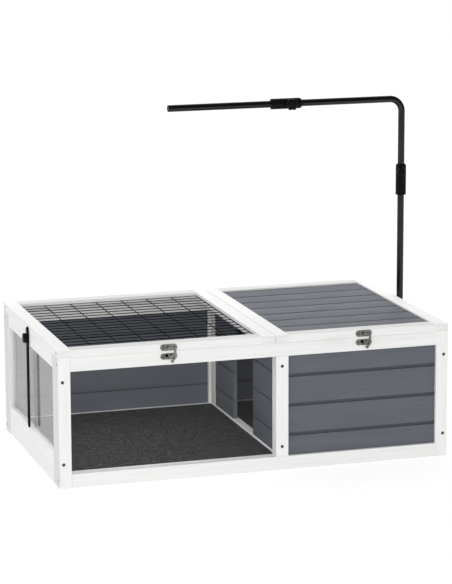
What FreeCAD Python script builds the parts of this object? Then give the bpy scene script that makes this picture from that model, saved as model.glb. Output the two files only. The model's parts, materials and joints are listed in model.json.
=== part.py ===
import FreeCAD, Part
import math
import os
import re

# Tortoise table: a two-room box with a mesh lid, a boarded lid and a telescopic lamp holder.
# Sizes are in millimetres. X runs to the right, Y to the back and Z up. The origin lies on the
# ground under the middle of the box.

SIZES = {
    # Box frame
    "box_width": 920,
    "box_depth": 555,
    "box_height": 295,
    "stock": 28,  # frame wood thickness, and the side of a corner post
    "rail_height": 31,
    "edge_round": 1.2,
    "centre_post_width": 30,
    "divider_centre": 59,
    "side_stock": 16,  # thickness of the side frames
    "side_stile": 26,
    "side_sill_height": 70,
    # Infill and its grooves
    "groove_depth": 7,
    "slip": 0.3,
    "board_thick": 10,
    "board_pitch": 68.5,
    "first_board": 48,
    "board_reveal": 7,
    "inner_reveal": 3,  # of the back and divider boards
    "tongue_thick": 4,
    "tongue_reach": 4,
    "pane_thick": 4,
    "front_pane_inset": 5,
    "side_pane_inset": 9.5,
    # Divider and floor
    "divider_stock": 18,
    "divider_lip": 2.2,
    "sill_top": 34.5,
    "door_front": -81,
    "door_rear": 72,
    "rear_stile_width": 31,
    "floor_level": 31,
    "liner_thick": 2,
    "floor_thick": 6,
    "batten_width": 20,
    # Lids
    "lid_thick": 18,
    "lid_split": 43.5,
    "lid_gap": 1.5,
    "lid_side_rail": 31,
    "lid_cross_rail": 33,
    "tenon_thick": 7,
    "tenon_length": 18,
    "joint_slip": 0.3,
    "wire": 2,
    "wire_bays": 7,
    "wire_pitch": 29,
    "roof_board_thick": 9,
    "roof_board_count": 7,
    "roof_board_reveal": 4,
    # Screws: frame screws sit flush, plate screws stand proud of a metal plate
    "frame_sink": 0.3,
    "frame_head_radius": 3.8,
    "frame_head_height": 2.5,
    "frame_shank_radius": 1.5,
    "frame_shank_length": 40,
    "plate_head_radius": 2.4,
    "plate_head_height": 1,
    "plate_shank_radius": 1.2,
    "plate_shank_length": 13,
    "hole_fit": 0.1,
    "drill_past": 1,
    "post_screw_inset": 10,
    "post_screw_rise": 54,
    # Hinges
    "hinge_drop": 4,
    "hinge_spread": 135,
    "hinge_standoff": 0.4,
    "knuckle_radius": 3.3,
    "knuckle_gap": 0.4,
    "leaf_length": 36,
    "leaf_height": 14,
    "leaf_thick": 1.2,
    "leaf_lift": 0.5,
    "leaf_screw_spread": 12,
    "pin_radius": 1.5,
    "turn_fit": 0.08,
    # Lid stays
    "stay_place": 11,
    "stay_rise": 9,
    "stay_width": 16,
    "stay_thick": 3,
    "stay_reach": 222,
    "stay_gap": 0.8,
    "stay_play": 0.3,
    "stud_radius": 2.5,
    "stud_depth": 12,
    "slot_clear": 0.5,
    "pivot_head_radius": 5,
    "pivot_head_height": 1.5,
    "stay_knob_radius": 12,
    "stay_knob_thick": 10,
    "knob_crown": 2,
    # Latches
    "mesh_latch_place": -207,
    "roof_latch_place": 253.7,
    "latch_length": 39,
    "latch_height": 15,
    "keeper_height": 14,
    "keeper_drop": 11.5,
    "plate_thick": 1.2,
    "latch_screw_spread": 12.5,
    "rivet_radius": 2,
    "rivet_head_radius": 3.5,
    "rivet_head_height": 1,
    "rivet_drop": 1,
    "hook_gap": 1.3,
    "hook_thick": 1.5,
    "hook_play": 0.3,
    "hook_width": 4.4,
    "hook_reach": 14.5,
    "hook_drop": 23,
    "finger_length": 10,
    "finger_rise": 8.5,
    "finger_fall": 5,
    "tail_drop": 8,
    "tail_shift": 7,
    "bulb_radius": 3.4,
    "strap_width": 4,
    "strap_height": 13,
    "strap_clear": 0.5,
    "strap_thick": 1.2,
    "pocket_left": 9,
    "pocket_right": 9.5,
    "pocket_height": 7.5,
    "pocket_rise": 1.5,
    "pocket_depth": 10,
    "cup_wall": 0.8,
    # Lamp holder
    "tube_radius": 8,
    "tube_wall": 1.5,
    "slide_fit": 0.1,
    "pole_standoff": 6,
    "pole_place": 67.6,
    "tube_foot": 4,
    "collar_low": 558.6,
    "collar_length": 75,
    "collar_radius": 12.5,
    "collar_lip": 34,
    "collar_round": 6,
    "height_clamp_inset": 17.6,
    "arm_clamp_inset": 30,
    "clamp_turn": -17,  # degrees round the pole that the height collar is turned
    "arm_level": 790,
    "bend_radius": 30,
    "arm_collar_left": 146,
    "arm_tip": -104,
    "inner_reach": 250,
    "inner_grip": 90,
    "arm_inner_reach": 210,
    "arm_inner_grip": 60,
    "inner_wall": 1.2,
    "cap_thick": 2,
    "cap_plug": 10,
    "boss_radius": 6.5,
    "boss_out": 3,
    "clamp_stem_radius": 2.5,
    "clamp_gap": 1,
    "height_knob_radius": 11,
    "arm_knob_radius": 14.5,
    "clamp_knob_thick": 11,
    "flute_radius": 5,
    "clip_width": 18,
    "clip_reach": 22,
    "clip_plate": 2.5,
    "clip_wall": 2.5,
    "clip_neck": 6,
    "clip_screw_spread": 16,
}
KNOB_FLUTES = 6

# Places worked out from the sizes above.
PLACES = {
    "left": "-box_width / 2",
    "right": "box_width / 2",
    "front": "-box_depth / 2",
    "back": "box_depth / 2",
    "seam": "box_height",
    "lid_top": "box_height + lid_thick",
    "lid_middle": "box_height + lid_thick / 2",
    "head": "box_height - rail_height",
    "left_in": "left + stock",
    "right_in": "right - stock",
    "left_wall_in": "left + side_stock",
    "right_wall_in": "right - side_stock",
    "front_in": "front + stock",
    "back_in": "back - stock",
    "post_left": "divider_centre - centre_post_width / 2",
    "post_right": "divider_centre + centre_post_width / 2",
    "divider_left": "divider_centre - divider_stock / 2",
    "divider_right": "divider_centre + divider_stock / 2",
    "divider_board_middle": "divider_left + divider_lip + board_thick / 2",
    "stile_front": "front_in + side_stile",
    "stile_back": "back_in - side_stile",
    "rear_stile_front": "back_in - rear_stile_width",
    "panel_top": "floor_level - liner_thick",
    "panel_bottom": "panel_top - floor_thick",
    "mesh_lid_right": "lid_split - lid_gap / 2",
    "roof_lid_left": "lid_split + lid_gap / 2",
    "plate_sink": "-plate_head_height",
    "hinge_y": "back + hinge_standoff + knuckle_radius",
    "hinge_z": "seam - hinge_drop",
    "knuckle_length": "(leaf_length - 2 * knuckle_gap) / 3",
    "body_leaf_top": "hinge_z - knuckle_radius - knuckle_gap",
    "lid_leaf_low": "seam + leaf_lift",
    "stay_pin_z": "hinge_z + stay_rise",
    "stay_stud_z": "hinge_z - stay_rise",
    "stay_inside": "left - stay_gap",
    "stay_outside": "left - stay_gap - stay_thick",
    "knob_seat": "stay_outside - stay_play",
    "plate_face": "front - plate_thick",
    "hook_back": "plate_face - hook_gap",
    "hook_face": "hook_back - hook_thick",
    "rivet_z": "lid_middle - rivet_drop",
    "keeper_z": "seam - keeper_drop",
    "strap_inside": "hook_face - strap_clear",
    "tube_bore": "tube_radius - tube_wall",
    "inner_radius": "tube_bore - slide_fit",
    "pole_x": "right + pole_standoff + tube_radius",
    "collar_top": "collar_low + collar_length",
    "clamp_z": "collar_top - height_clamp_inset",
    "bend_z": "arm_level - bend_radius",
    "bend_x": "pole_x - bend_radius",
    "arm_collar_right": "arm_collar_left + collar_length",
    "clamp_x": "arm_collar_right - arm_clamp_inset",
    "boss_face": "pole_place - collar_radius - boss_out",
    "clamp_seat": "boss_face - clamp_gap",
    "foot_clip_z": "rail_height / 2",
    "head_clip_z": "seam - rail_height / 2",
}

doc = FreeCAD.newDocument("TortoiseTable")
sheet = doc.addObject("Spreadsheet::Sheet", "Sizes")
for row, (name, size) in enumerate(SIZES.items(), 1):
    sheet.set(f"A{row}", name)
    sheet.set(f"B{row}", str(size))
    sheet.setAlias(f"B{row}", name)
doc.recompute()

WORD = re.compile(r"[a-z]\w*")
NORMALS = {
    "x": FreeCAD.Vector(1, 0, 0),
    "y": FreeCAD.Vector(0, 1, 0),
    "z": FreeCAD.Vector(0, 0, 1),
}
TURNS = {
    "x": FreeCAD.Rotation(FreeCAD.Vector(0, 1, 0), 90),
    "y": FreeCAD.Rotation(FreeCAD.Vector(1, 0, 0), -90),
    "z": FreeCAD.Rotation(),
}
parts = []


def formula(text):
    """Spell out named places and sizes as an expression on the sheet."""

    def spell(match):
        word = match.group()
        if word in PLACES:
            return "(" + formula(PLACES[word]) + ")"
        return "Sizes." + word if word in SIZES else word

    return WORD.sub(spell, text)


def measure(text):
    """The present value of a formula, in millimetres."""
    return float(sheet.evalExpression(formula(text)))


def sub_part(label, piece):
    """Name a finished piece and keep it for writing."""
    piece.Label = label
    parts.append(piece)
    return piece


def block(name, **spans):
    """A square-edged block between a low and a high place along x, y and z."""
    piece = doc.addObject("Part::Box", name)
    for axis, side in zip("xyz", ("Length", "Width", "Height")):
        low, high = spans[axis]
        piece.setExpression("Placement.Base." + axis, formula(low))
        piece.setExpression(side, formula(f"({high}) - ({low})"))
    return piece


def rod(name, axis, radius, **places):
    """A round bar: a low and a high place along its axis, and one place on each other axis."""
    piece = doc.addObject("Part::Cylinder", name)
    piece.Placement = FreeCAD.Placement(FreeCAD.Vector(), TURNS[axis])
    low, high = places[axis]
    piece.setExpression("Radius", formula(radius))
    piece.setExpression("Height", formula(f"({high}) - ({low})"))
    for each in "xyz":
        start = low if each == axis else places[each]
        piece.setExpression("Placement.Base." + each, formula(start))
    return piece


def joined(name, *pieces):
    """One solid made of pieces that overlap or touch."""
    piece = doc.addObject("Part::MultiFuse", name)
    piece.Shapes = list(pieces)
    piece.Refine = True
    return piece


def group(name, *pieces):
    """Separate solids that share one name."""
    piece = doc.addObject("Part::Compound", name)
    piece.Links = list(pieces)
    return piece


def cut(name, base, tool):
    """The base with the tool's space taken out of it."""
    piece = doc.addObject("Part::Cut", name)
    piece.Base = base
    piece.Tool = tool
    return piece


def mirrored(name, source, axis):
    """The source seen in a mirror through the middle of the box."""
    piece = doc.addObject("Part::Mirroring", name)
    piece.Source = source
    piece.Normal = NORMALS[axis]
    return piece


def rounded(name, base, edges, radius):
    """The base with the numbered edges rounded."""
    piece = doc.addObject("Part::Fillet", name)
    piece.Base = base
    piece.Edges = [(edge, radius, radius) for edge in edges]
    return piece


def edges_along(axis):
    """Numbers of the four edges of a block that run along one axis."""
    edges = enumerate(Part.makeBox(1, 1, 1).Edges, 1)
    return [number for number, edge in edges if abs(edge.tangentAt(0).dot(NORMALS[axis])) > 0.5]


def rail(name, along, **spans):
    """A length of frame wood with its four long edges eased."""
    return rounded(name, block(name + "_block", **spans), edges_along(along), measure("edge_round"))


def capsule(name, start, end, radius, **depth):
    """A flat bar with round ends: start and end are (x, z) places of the end centres."""
    run = f"({end[0]}) - ({start[0]})"
    rise = f"({end[1]}) - ({start[1]})"
    length = f"sqrt(({run}) ^ 2 + ({rise}) ^ 2)"
    low, high = depth["y"]
    bar = doc.addObject("Part::Box", name + "_bar")
    slope = math.degrees(math.atan2(measure(rise), measure(run)))
    bar.Placement.Rotation = FreeCAD.Rotation(FreeCAD.Vector(0, -1, 0), slope)
    bar.setExpression("Length", formula(length))
    bar.setExpression("Width", formula(f"({high}) - ({low})"))
    bar.setExpression("Height", formula(f"2 * ({radius})"))
    across = f"({radius}) / ({length})"
    bar.setExpression("Placement.Base.x", formula(f"{start[0]} + ({rise}) * {across}"))
    bar.setExpression("Placement.Base.y", formula(low))
    bar.setExpression("Placement.Base.z", formula(f"{start[1]} - ({run}) * {across}"))
    ends = [
        rod(f"{name}_{which}", "y", radius, x=place[0], y=(low, high), z=place[1])
        for which, place in (("start", start), ("end", end))
    ]
    return joined(name, bar, *ends)


def screw(name, kind, axis, inward, face, **places):
    """A screw driven through a face, and the two bores of its hole.

    inward is +1 or -1, the way it is driven along its axis.
    """

    def bar(part, begin, length, radius):
        ends = (begin, f"{begin} + ({length})") if inward > 0 else (f"{begin} - ({length})", begin)
        return rod(f"{name}_{part}", axis, radius, **{axis: ends}, **places)

    top = f"{face} + {inward} * {kind}_sink"
    neck = f"{top} + {inward} * {kind}_head_height"
    head = bar("head", top, f"{kind}_head_height", f"{kind}_head_radius")
    shank = bar("shank", neck, f"{kind}_shank_length", f"{kind}_shank_radius")
    mouth = f"{top} - {inward} * drill_past"
    sunk = bar("sunk", mouth, f"{kind}_head_height + drill_past", f"{kind}_head_radius + hole_fit")
    deep = f"{kind}_shank_length + drill_past"
    bore = bar("bore", neck, deep, f"{kind}_shank_radius + hole_fit")
    return joined(name, head, shank), [sunk, bore]


def screws(name, kind, axis, inward, face, spots):
    """Like screws driven through one face at several spots, and the bores of their holes."""
    driven = []
    bores = []
    for number, places in enumerate(spots, 1):
        piece, drilled = screw(f"{name}_{number}", kind, axis, inward, face, **places)
        driven.append(piece)
        bores += drilled
    return driven, bores


def in_grooves(opening, margin):
    """The spans of an infill whose edges enter the grooves round its opening."""
    return {
        axis: (f"({low}) - groove_depth + {margin}", f"({high}) + groove_depth - {margin}")
        for axis, (low, high) in opening.items()
    }


def sheet_spans(opening, thin, middle, thick, margin):
    """The spans of a flat infill, thick about its middle, in the grooves of its opening."""
    spans = in_grooves(opening, margin)
    spans[thin] = (f"{middle} - ({thick}) / 2", f"{middle} + ({thick}) / 2")
    return spans


def tongued_boards(name, spans, stack, thin, middle, meets, reveal):
    """Boards laid edge to edge, each with a long tongue that enters a slot in the next one.

    meets are the places where two boards meet. The tongue shows there as a sunk line.
    """
    low, high = spans[stack]
    starts = [low] + [f"{place} + {reveal} / 2" for place in meets]
    ends = [f"{place} - {reveal} / 2" for place in meets] + [high]
    boards = []
    for number, (start, end) in enumerate(zip(starts, ends), 1):
        label = f"{name}_{number}"
        board = block(label + "_face", **{**spans, stack: (start, end)})
        if end != high:
            tongue = {
                stack: (end, f"{end} + {reveal} + tongue_reach"),
                thin: (f"{middle} - tongue_thick / 2", f"{middle} + tongue_thick / 2"),
            }
            board = joined(label + "_tongued", board, block(label + "_tongue", **{**spans, **tongue}))
        if start != low:
            half = "(tongue_thick / 2 + slip)"
            slot = {
                stack: (start, f"{start} + tongue_reach + slip"),
                thin: (f"{middle} - {half}", f"{middle} + {half}"),
            }
            board = cut(label, board, block(label + "_slot", **{**spans, **slot}))
        boards.append(board)
    return boards


def wall_meets():
    """Heights where the wall boards meet, the same all round the box."""
    spare = measure("head - rail_height - first_board")
    count = math.ceil(spare / measure("board_pitch"))
    return [f"rail_height + first_board + {number} * board_pitch" for number in range(count)]


# Bays of the frame: the opening, the thin axis, the middle of the infill and its thickness.
wall_rise = ("rail_height", "head")
side_run = ("stile_front", "stile_back")
divider_rise = ("sill_top", "head")
front_middle = "front + stock / 2"
back_middle = "back - stock / 2"
left_bay = {"x": ("left_in", "post_left"), "z": wall_rise}
right_bay = {"x": ("post_right", "right_in"), "z": wall_rise}
back_left_bay = {"x": ("left_wall_in", "post_left"), "z": wall_rise}
back_right_bay = {"x": ("post_right", "right_wall_in"), "z": wall_rise}
left_side_bay = {"y": side_run, "z": ("side_sill_height", "head")}
right_side_bay = {"y": side_run, "z": wall_rise}
before_door = {"y": ("front_in", "door_front - groove_depth"), "z": divider_rise}
behind_door = {"y": ("door_rear + groove_depth", "rear_stile_front"), "z": divider_rise}
BAYS = {
    "front_window": (left_bay, "y", "front + front_pane_inset + pane_thick / 2", "pane_thick"),
    "front_boards": (right_bay, "y", front_middle, "board_thick"),
    "back_left_boards": (back_left_bay, "y", back_middle, "board_thick"),
    "back_right_boards": (back_right_bay, "y", back_middle, "board_thick"),
    "left_window": (left_side_bay, "x", "left + side_pane_inset + pane_thick / 2", "pane_thick"),
    "right_side_boards": (right_side_bay, "x", "right - side_stock / 2", "board_thick"),
    "divider_front_boards": (before_door, "x", "divider_board_middle", "board_thick"),
    "divider_rear_boards": (behind_door, "x", "divider_board_middle", "board_thick"),
}
LIDS = {
    "mesh_lid": ("left", "mesh_lid_right"),
    "roof_lid": ("roof_lid_left", "right"),
}
LATCHES = {"mesh": "mesh_latch_place", "roof": "roof_latch_place"}


def hinge_places(lid):
    """Middles of a lid's two hinges."""
    low, high = LIDS[lid]
    return [f"(({low}) + ({high})) / 2 {sign} hinge_spread" for sign in "-+"]


all_hinges = [place for lid in LIDS for place in hinge_places(lid)]


def body_screws():
    """Screws of the box: posts to side frames, posts to rails, hinge leaves, keepers and pole clips."""
    posts = ("left + post_screw_inset", "divider_centre", "right - post_screw_inset")
    levels = ("post_screw_rise", "seam - post_screw_rise")
    rails = ("rail_height / 2", "seam - rail_height / 2")
    on_posts = [{"x": place, "z": level} for place in posts for level in levels]
    on_rails = [{"y": place, "z": level} for place in (front_middle, back_middle) for level in rails]
    on_leaves = [
        {"x": f"{place} {sign} leaf_screw_spread", "z": "body_leaf_top - leaf_height / 2"}
        for place in all_hinges
        for sign in "-+"
    ]
    on_keepers = [
        {"x": f"{place} {sign} latch_screw_spread", "z": "keeper_z"}
        for place in LATCHES.values()
        for sign in "-+"
    ]
    on_clips = [
        {"y": f"pole_place {sign} clip_screw_spread", "z": level}
        for level in ("foot_clip_z", "head_clip_z")
        for sign in "-+"
    ]
    rows = (
        screws("front_screw", "frame", "y", 1, "front", on_posts),
        screws("back_screw", "frame", "y", -1, "back", on_posts),
        screws("left_screw", "frame", "x", 1, "left", on_rails),
        screws("right_screw", "frame", "x", -1, "right", on_rails),
        screws("leaf_screw", "plate", "y", -1, "back + leaf_thick", on_leaves),
        screws("keeper_screw", "plate", "y", 1, "plate_face", on_keepers),
        screws("clip_screw", "plate", "x", -1, "right + clip_plate", on_clips),
    )
    return [piece for row in rows for piece in row[0]], [bore for row in rows for bore in row[1]]


def stay_bore(name, height):
    """The two holes, left and right, that a stay's pin enters at one height."""
    hole = rod(
        name, "x", "stud_radius + hole_fit",
        x=("left - drill_past", "left + stud_depth + drill_past"), y="stay_place", z=height,
    )
    return hole, mirrored(name + "_right", hole, "x")


body_screw_pieces, body_bores = body_screws()
stud_bores = stay_bore("stud_bore", "stay_stud_z")


def pocket(name, middle, margin, depth):
    """The space of a keeper's pocket in the front top rail, less a margin on its four sides."""
    low = f"keeper_z + pocket_rise - pocket_height / 2 + {margin}"
    high = f"keeper_z + pocket_rise + pocket_height / 2 - {margin}"
    across = (f"{middle} - pocket_left + {margin}", f"{middle} + pocket_right - {margin}")
    return block(name, x=across, y=depth, z=(low, high))


pocket_run = ("front - drill_past", "front + pocket_depth")
keeper_pockets = [pocket(f"{side}_pocket", middle, "0", pocket_run) for side, middle in LATCHES.items()]
screw_holes = joined("screw_holes", *body_bores)
body_holes = joined("body_holes", screw_holes, *stud_bores, *keeper_pockets)
body_grooves = group(
    "body_grooves",
    *(
        block(name + "_groove", **sheet_spans(opening, thin, middle, thick + " + 2 * slip", "0"))
        for name, (opening, thin, middle, thick) in BAYS.items()
    ),
)


def frame_piece(name, along, **spans):
    """A piece of the box frame with its grooves and screw holes."""
    grooved = cut(name + "_grooved", rail(name + "_rail", along, **spans), body_grooves)
    return cut(name, grooved, body_holes)


def frame():
    """The white wood frame of the box."""
    front_depth = ("front", "front_in")
    back_depth = ("back_in", "back")
    full = ("0", "seam")
    low = ("0", "rail_height")
    top = ("head", "seam")
    left_post = ("left", "left_in")
    right_post = ("right_in", "right")
    left_wall = ("left", "left_wall_in")
    right_wall = ("right_wall_in", "right")
    centre = ("post_left", "post_right")
    corner_posts = [
        frame_piece(f"front_{side}_post", "z", x=span, y=front_depth, z=full)
        for side, span in (("left", left_post), ("right", right_post))
    ]
    sub_part("front_corner_posts", group("front_corner_posts", *corner_posts))
    sub_part("front_centre_post", frame_piece("front_centre_post", "z", x=centre, y=front_depth, z=wall_rise))
    back_posts = [
        frame_piece("back_left_post", "z", x=left_wall, y=back_depth, z=full),
        frame_piece("back_centre_post", "z", x=centre, y=back_depth, z=wall_rise),
        frame_piece("back_right_post", "z", x=right_wall, y=back_depth, z=full),
    ]
    sub_part("back_posts", group("back_posts", *back_posts))
    between_posts = {
        "front": (("left_in", "right_in"), front_depth),
        "back": (("left_wall_in", "right_wall_in"), back_depth),
    }
    for side, (run, depth) in between_posts.items():
        for level, span in (("top", top), ("bottom", low)):
            label = f"{side}_{level}_rail"
            sub_part(label, frame_piece(label, "x", x=run, y=depth, z=span))
    stiles = [
        frame_piece(f"{side}_{end}_stile", "z", x=wall, y=span, z=full)
        for side, wall in (("left", left_wall), ("right", right_wall))
        for end, span in (("front", ("front_in", "stile_front")), ("back", ("stile_back", "back_in")))
    ]
    sub_part("side_stiles", group("side_stiles", *stiles))
    for side, wall, sill in (("left", left_wall, "side_sill_height"), ("right", right_wall, "rail_height")):
        for level, span in (("top", top), ("bottom", ("0", sill))):
            label = f"{side}_side_{level}_rail"
            sub_part(label, frame_piece(label, "y", x=wall, y=side_run, z=span))
    divider = ("divider_left", "divider_right")
    inside = ("front_in", "back_in")
    sub_part("divider_top_rail", frame_piece("divider_top_rail", "y", x=divider, y=inside, z=top))
    sub_part("divider_sill", frame_piece("divider_sill", "y", x=divider, y=inside, z=("0", "sill_top")))
    rear_stile = frame_piece(
        "divider_rear_stile", "z", x=divider, y=("rear_stile_front", "back_in"), z=divider_rise,
    )
    sub_part("divider_rear_stile", rear_stile)


def wall_boards(bay, reveal):
    """The tongued boards of one bay of the walls."""
    opening, thin, middle, thick = BAYS[bay]
    spans = sheet_spans(opening, thin, middle, thick, "slip")
    return tongued_boards(bay, spans, "z", thin, middle, wall_meets(), reveal)


def infill():
    """Clear panes and grey boards in the bays of the frame."""
    for window in ("front_window", "left_window"):
        opening, thin, middle, thick = BAYS[window]
        sub_part(window, block(window, **sheet_spans(opening, thin, middle, thick, "slip")))
    sub_part("front_boards", group("front_board_set", *wall_boards("front_boards", "board_reveal")))
    right_boards = wall_boards("right_side_boards", "board_reveal")
    sub_part("right_side_boards", group("right_side_board_set", *right_boards))
    drilled_bays = {
        "back_boards": ("back_left_boards", "back_right_boards"),
        "divider_boards": ("divider_front_boards", "divider_rear_boards"),
    }
    for label, bays in drilled_bays.items():
        boards = [
            cut(f"drilled_{board.Name}", board, body_holes)
            for bay in bays
            for board in wall_boards(bay, "inner_reveal")
        ]
        sub_part(label, group(label + "_set", *boards))


def floor():
    """Floor panels on battens, with a non-slip liner on each panel."""
    rooms = {
        "left": ("left_wall_in + slip", "divider_left - slip"),
        "right": ("divider_right + slip", "right_wall_in - slip"),
    }
    depth = ("front_in + slip", "back_in - slip")
    panel_rise = ("panel_bottom", "panel_top")
    liner_rise = ("panel_top", "floor_level")
    panels = [block(f"{room}_panel", x=span, y=depth, z=panel_rise) for room, span in rooms.items()]
    sub_part("floor_panels", group("floor_panels", *panels))
    liners = [block(f"{room}_liner", x=span, y=depth, z=liner_rise) for room, span in rooms.items()]
    sub_part("floor_liners", group("floor_liners", *liners))
    battens = [
        block(f"{room}_{end}_batten", x=span, y=run, z=("0", "panel_bottom"))
        for room, span in rooms.items()
        for end, run in (
            ("front", ("front_in", "front_in + batten_width")),
            ("back", ("back_in - batten_width", "back_in")),
        )
    ]
    sub_part("floor_battens", group("floor_battens", *battens))


def lid_opening(lid):
    """The opening inside a lid's four rails."""
    low, high = LIDS[lid]
    return {
        "x": (f"{low} + lid_side_rail", f"{high} - lid_side_rail"),
        "y": ("front + lid_cross_rail", "back - lid_cross_rail"),
    }


def lid_screws(lid, latch):
    """Screws of one lid: side rails to cross rails, hinge leaves and latch plate."""
    low, high = LIDS[lid]
    on_rails = [
        {"y": place, "z": "lid_middle"}
        for place in ("front + lid_cross_rail / 2", "back - lid_cross_rail / 2")
    ]
    on_leaves = [
        {"x": f"{place} {sign} leaf_screw_spread", "z": "lid_leaf_low + leaf_height / 2"}
        for place in hinge_places(lid)
        for sign in "-+"
    ]
    on_plate = [{"x": f"{latch} {sign} latch_screw_spread", "z": "lid_middle"} for sign in "-+"]
    rows = (
        screws(f"{lid}_left_screw", "frame", "x", 1, low, on_rails),
        screws(f"{lid}_right_screw", "frame", "x", -1, high, on_rails),
        screws(f"{lid}_leaf_screw", "plate", "y", -1, "back + leaf_thick", on_leaves),
        screws(f"{lid}_plate_screw", "plate", "y", 1, "plate_face", on_plate),
    )
    return [piece for row in rows for piece in row[0]], [bore for row in rows for bore in row[1]]


def lid_rails(lid, holes, infill_thick):
    """The four rails of a lid, tenoned at the corners and grooved for the infill."""
    low, high = LIDS[lid]
    opening = lid_opening(lid)
    rise = ("seam", "lid_top")
    ends = {"front": ("front", opening["y"][0]), "back": (opening["y"][1], "back")}
    groove = block(
        f"{lid}_groove", **sheet_spans(opening, "z", "lid_middle", infill_thick + " + 2 * slip", "0"),
    )
    tools = joined(f"{lid}_tools", groove, holes)

    def tenon(name, run, length, half):
        left_end = f"{opening['x'][0]} - ({length})"
        right_end = f"{opening['x'][1]} + ({length})"
        return block(
            name, x=(left_end, right_end), y=run, z=(f"lid_middle - {half}", f"lid_middle + {half}"),
        )

    cross_rails = []
    mortises = []
    for end, run in ends.items():
        bar = rail(f"{lid}_{end}_bar", "x", x=opening["x"], y=run, z=rise)
        tongue = tenon(f"{lid}_{end}_tenon", run, "tenon_length", "tenon_thick / 2")
        whole = joined(f"{lid}_{end}_tenoned", bar, tongue)
        cross_rails.append(cut(f"{lid}_{end}_rail", whole, tools))
        wide = (f"{run[0]} - joint_slip", f"{run[1]} + joint_slip")
        half = "(tenon_thick / 2 + joint_slip)"
        mortises.append(tenon(f"{lid}_{end}_mortise", wide, "tenon_length + joint_slip", half))
    mortise = group(f"{lid}_mortises", *mortises)
    side_rails = []
    for side, span in (("left", (low, opening["x"][0])), ("right", (opening["x"][1], high))):
        bar = rail(f"{lid}_{side}_bar", "y", x=span, y=("front", "back"), z=rise)
        open_bar = cut(f"{lid}_{side}_mortised", bar, mortise)
        side_rails.append(cut(f"{lid}_{side}_rail", open_bar, tools))
    sub_part(f"{lid}_side_rails", group(f"{lid}_side_rails", *side_rails))
    sub_part(f"{lid}_cross_rails", group(f"{lid}_cross_rails", *cross_rails))


def rectangle(x_low, x_high, y_low, y_high, z):
    """A closed rectangular outline at one height."""
    corners = ((x_low, y_low), (x_high, y_low), (x_high, y_high), (x_low, y_high), (x_low, y_low))
    return Part.makePolygon([FreeCAD.Vector(x, y, z) for x, y in corners])


def wire_mesh():
    """Crossing wires of the mesh lid: one face with a hole between each pair of wires, made thick."""
    opening = lid_opening("mesh_lid")
    spans = sheet_spans(opening, "z", "lid_middle", "wire", "slip")
    x_low, x_high, y_low, y_high = (measure(place) for axis in "xy" for place in spans[axis])
    wire = measure("wire")
    bays = int(measure("wire_bays"))
    inside_low, inside_high = (measure(place) for place in opening["x"])
    pitch_x = (inside_high - inside_low) / bays
    rows = int(measure("box_depth - 2 * lid_cross_rail") // measure("wire_pitch"))
    long_wires = [inside_low + number * pitch_x for number in range(bays + 1)]
    cross_wires = [(number - (rows - 1) / 2) * measure("wire_pitch") for number in range(rows)]
    columns = [x_low + wire / 2] + long_wires + [x_high - wire / 2]
    lines = [y_low + wire / 2] + cross_wires + [y_high - wire / 2]
    level = measure("lid_middle - wire / 2")
    outlines = [rectangle(x_low, x_high, y_low, y_high, level)]
    for left_wire, right_wire in zip(columns, columns[1:]):
        for near_wire, far_wire in zip(lines, lines[1:]):
            hole = (left_wire + wire / 2, right_wire - wire / 2, near_wire + wire / 2, far_wire - wire / 2)
            outlines.append(rectangle(*hole, level))
    face = Part.makeFace(outlines, "Part::FaceMakerBullseye")
    piece = doc.addObject("Part::Feature", "wire_mesh")
    piece.Shape = face.extrude(FreeCAD.Vector(0, 0, wire))
    sub_part("wire_mesh", piece)


def roof_boards():
    """Boards of the roof lid, side by side from front to back."""
    spans = sheet_spans(lid_opening("roof_lid"), "z", "lid_middle", "roof_board_thick", "slip")
    count = int(measure("roof_board_count"))
    pitch = "(box_depth - 2 * lid_cross_rail) / roof_board_count"
    meets = [f"front + lid_cross_rail + {number} * {pitch}" for number in range(1, count)]
    boards = tongued_boards("roof_board", spans, "y", "z", "lid_middle", meets, "roof_board_reveal")
    sub_part("roof_boards", group("roof_boards", *boards))


def knuckles(name, middle, numbers, z_span, tab_out):
    """Barrel pieces of a hinge leaf, each with the tab that joins it to the plate."""
    pieces = []
    for number in numbers:
        low = f"{middle} - leaf_length / 2 + {number} * (knuckle_length + knuckle_gap)"
        span = (low, f"{low} + knuckle_length")
        tab_depth = (f"back + {tab_out}", f"back + {tab_out} + leaf_thick")
        pieces.append(block(f"{name}_tab_{number}", x=span, y=tab_depth, z=z_span))
        pieces.append(rod(f"{name}_barrel_{number}", "x", "knuckle_radius", x=span, y="hinge_y", z="hinge_z"))
    return pieces


def hinge_leaf(name, middle, plate_rise, numbers, z_span, tab_out, holes):
    """A hinge leaf: a plate on the back face, its knuckles, the pin's bore and the screw holes."""
    span = (f"{middle} - leaf_length / 2", f"{middle} + leaf_length / 2")
    plate = block(name + "_plate", x=span, y=("back", "back + leaf_thick"), z=plate_rise)
    solid = joined(name + "_solid", plate, *knuckles(name, middle, numbers, z_span, tab_out))
    bore_span = (f"{span[0]} - drill_past", f"{span[1]} + drill_past")
    bore = rod(name + "_pin_bore", "x", "pin_radius + turn_fit", x=bore_span, y="hinge_y", z="hinge_z")
    return cut(name, cut(name + "_bored", solid, bore), holes)


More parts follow.
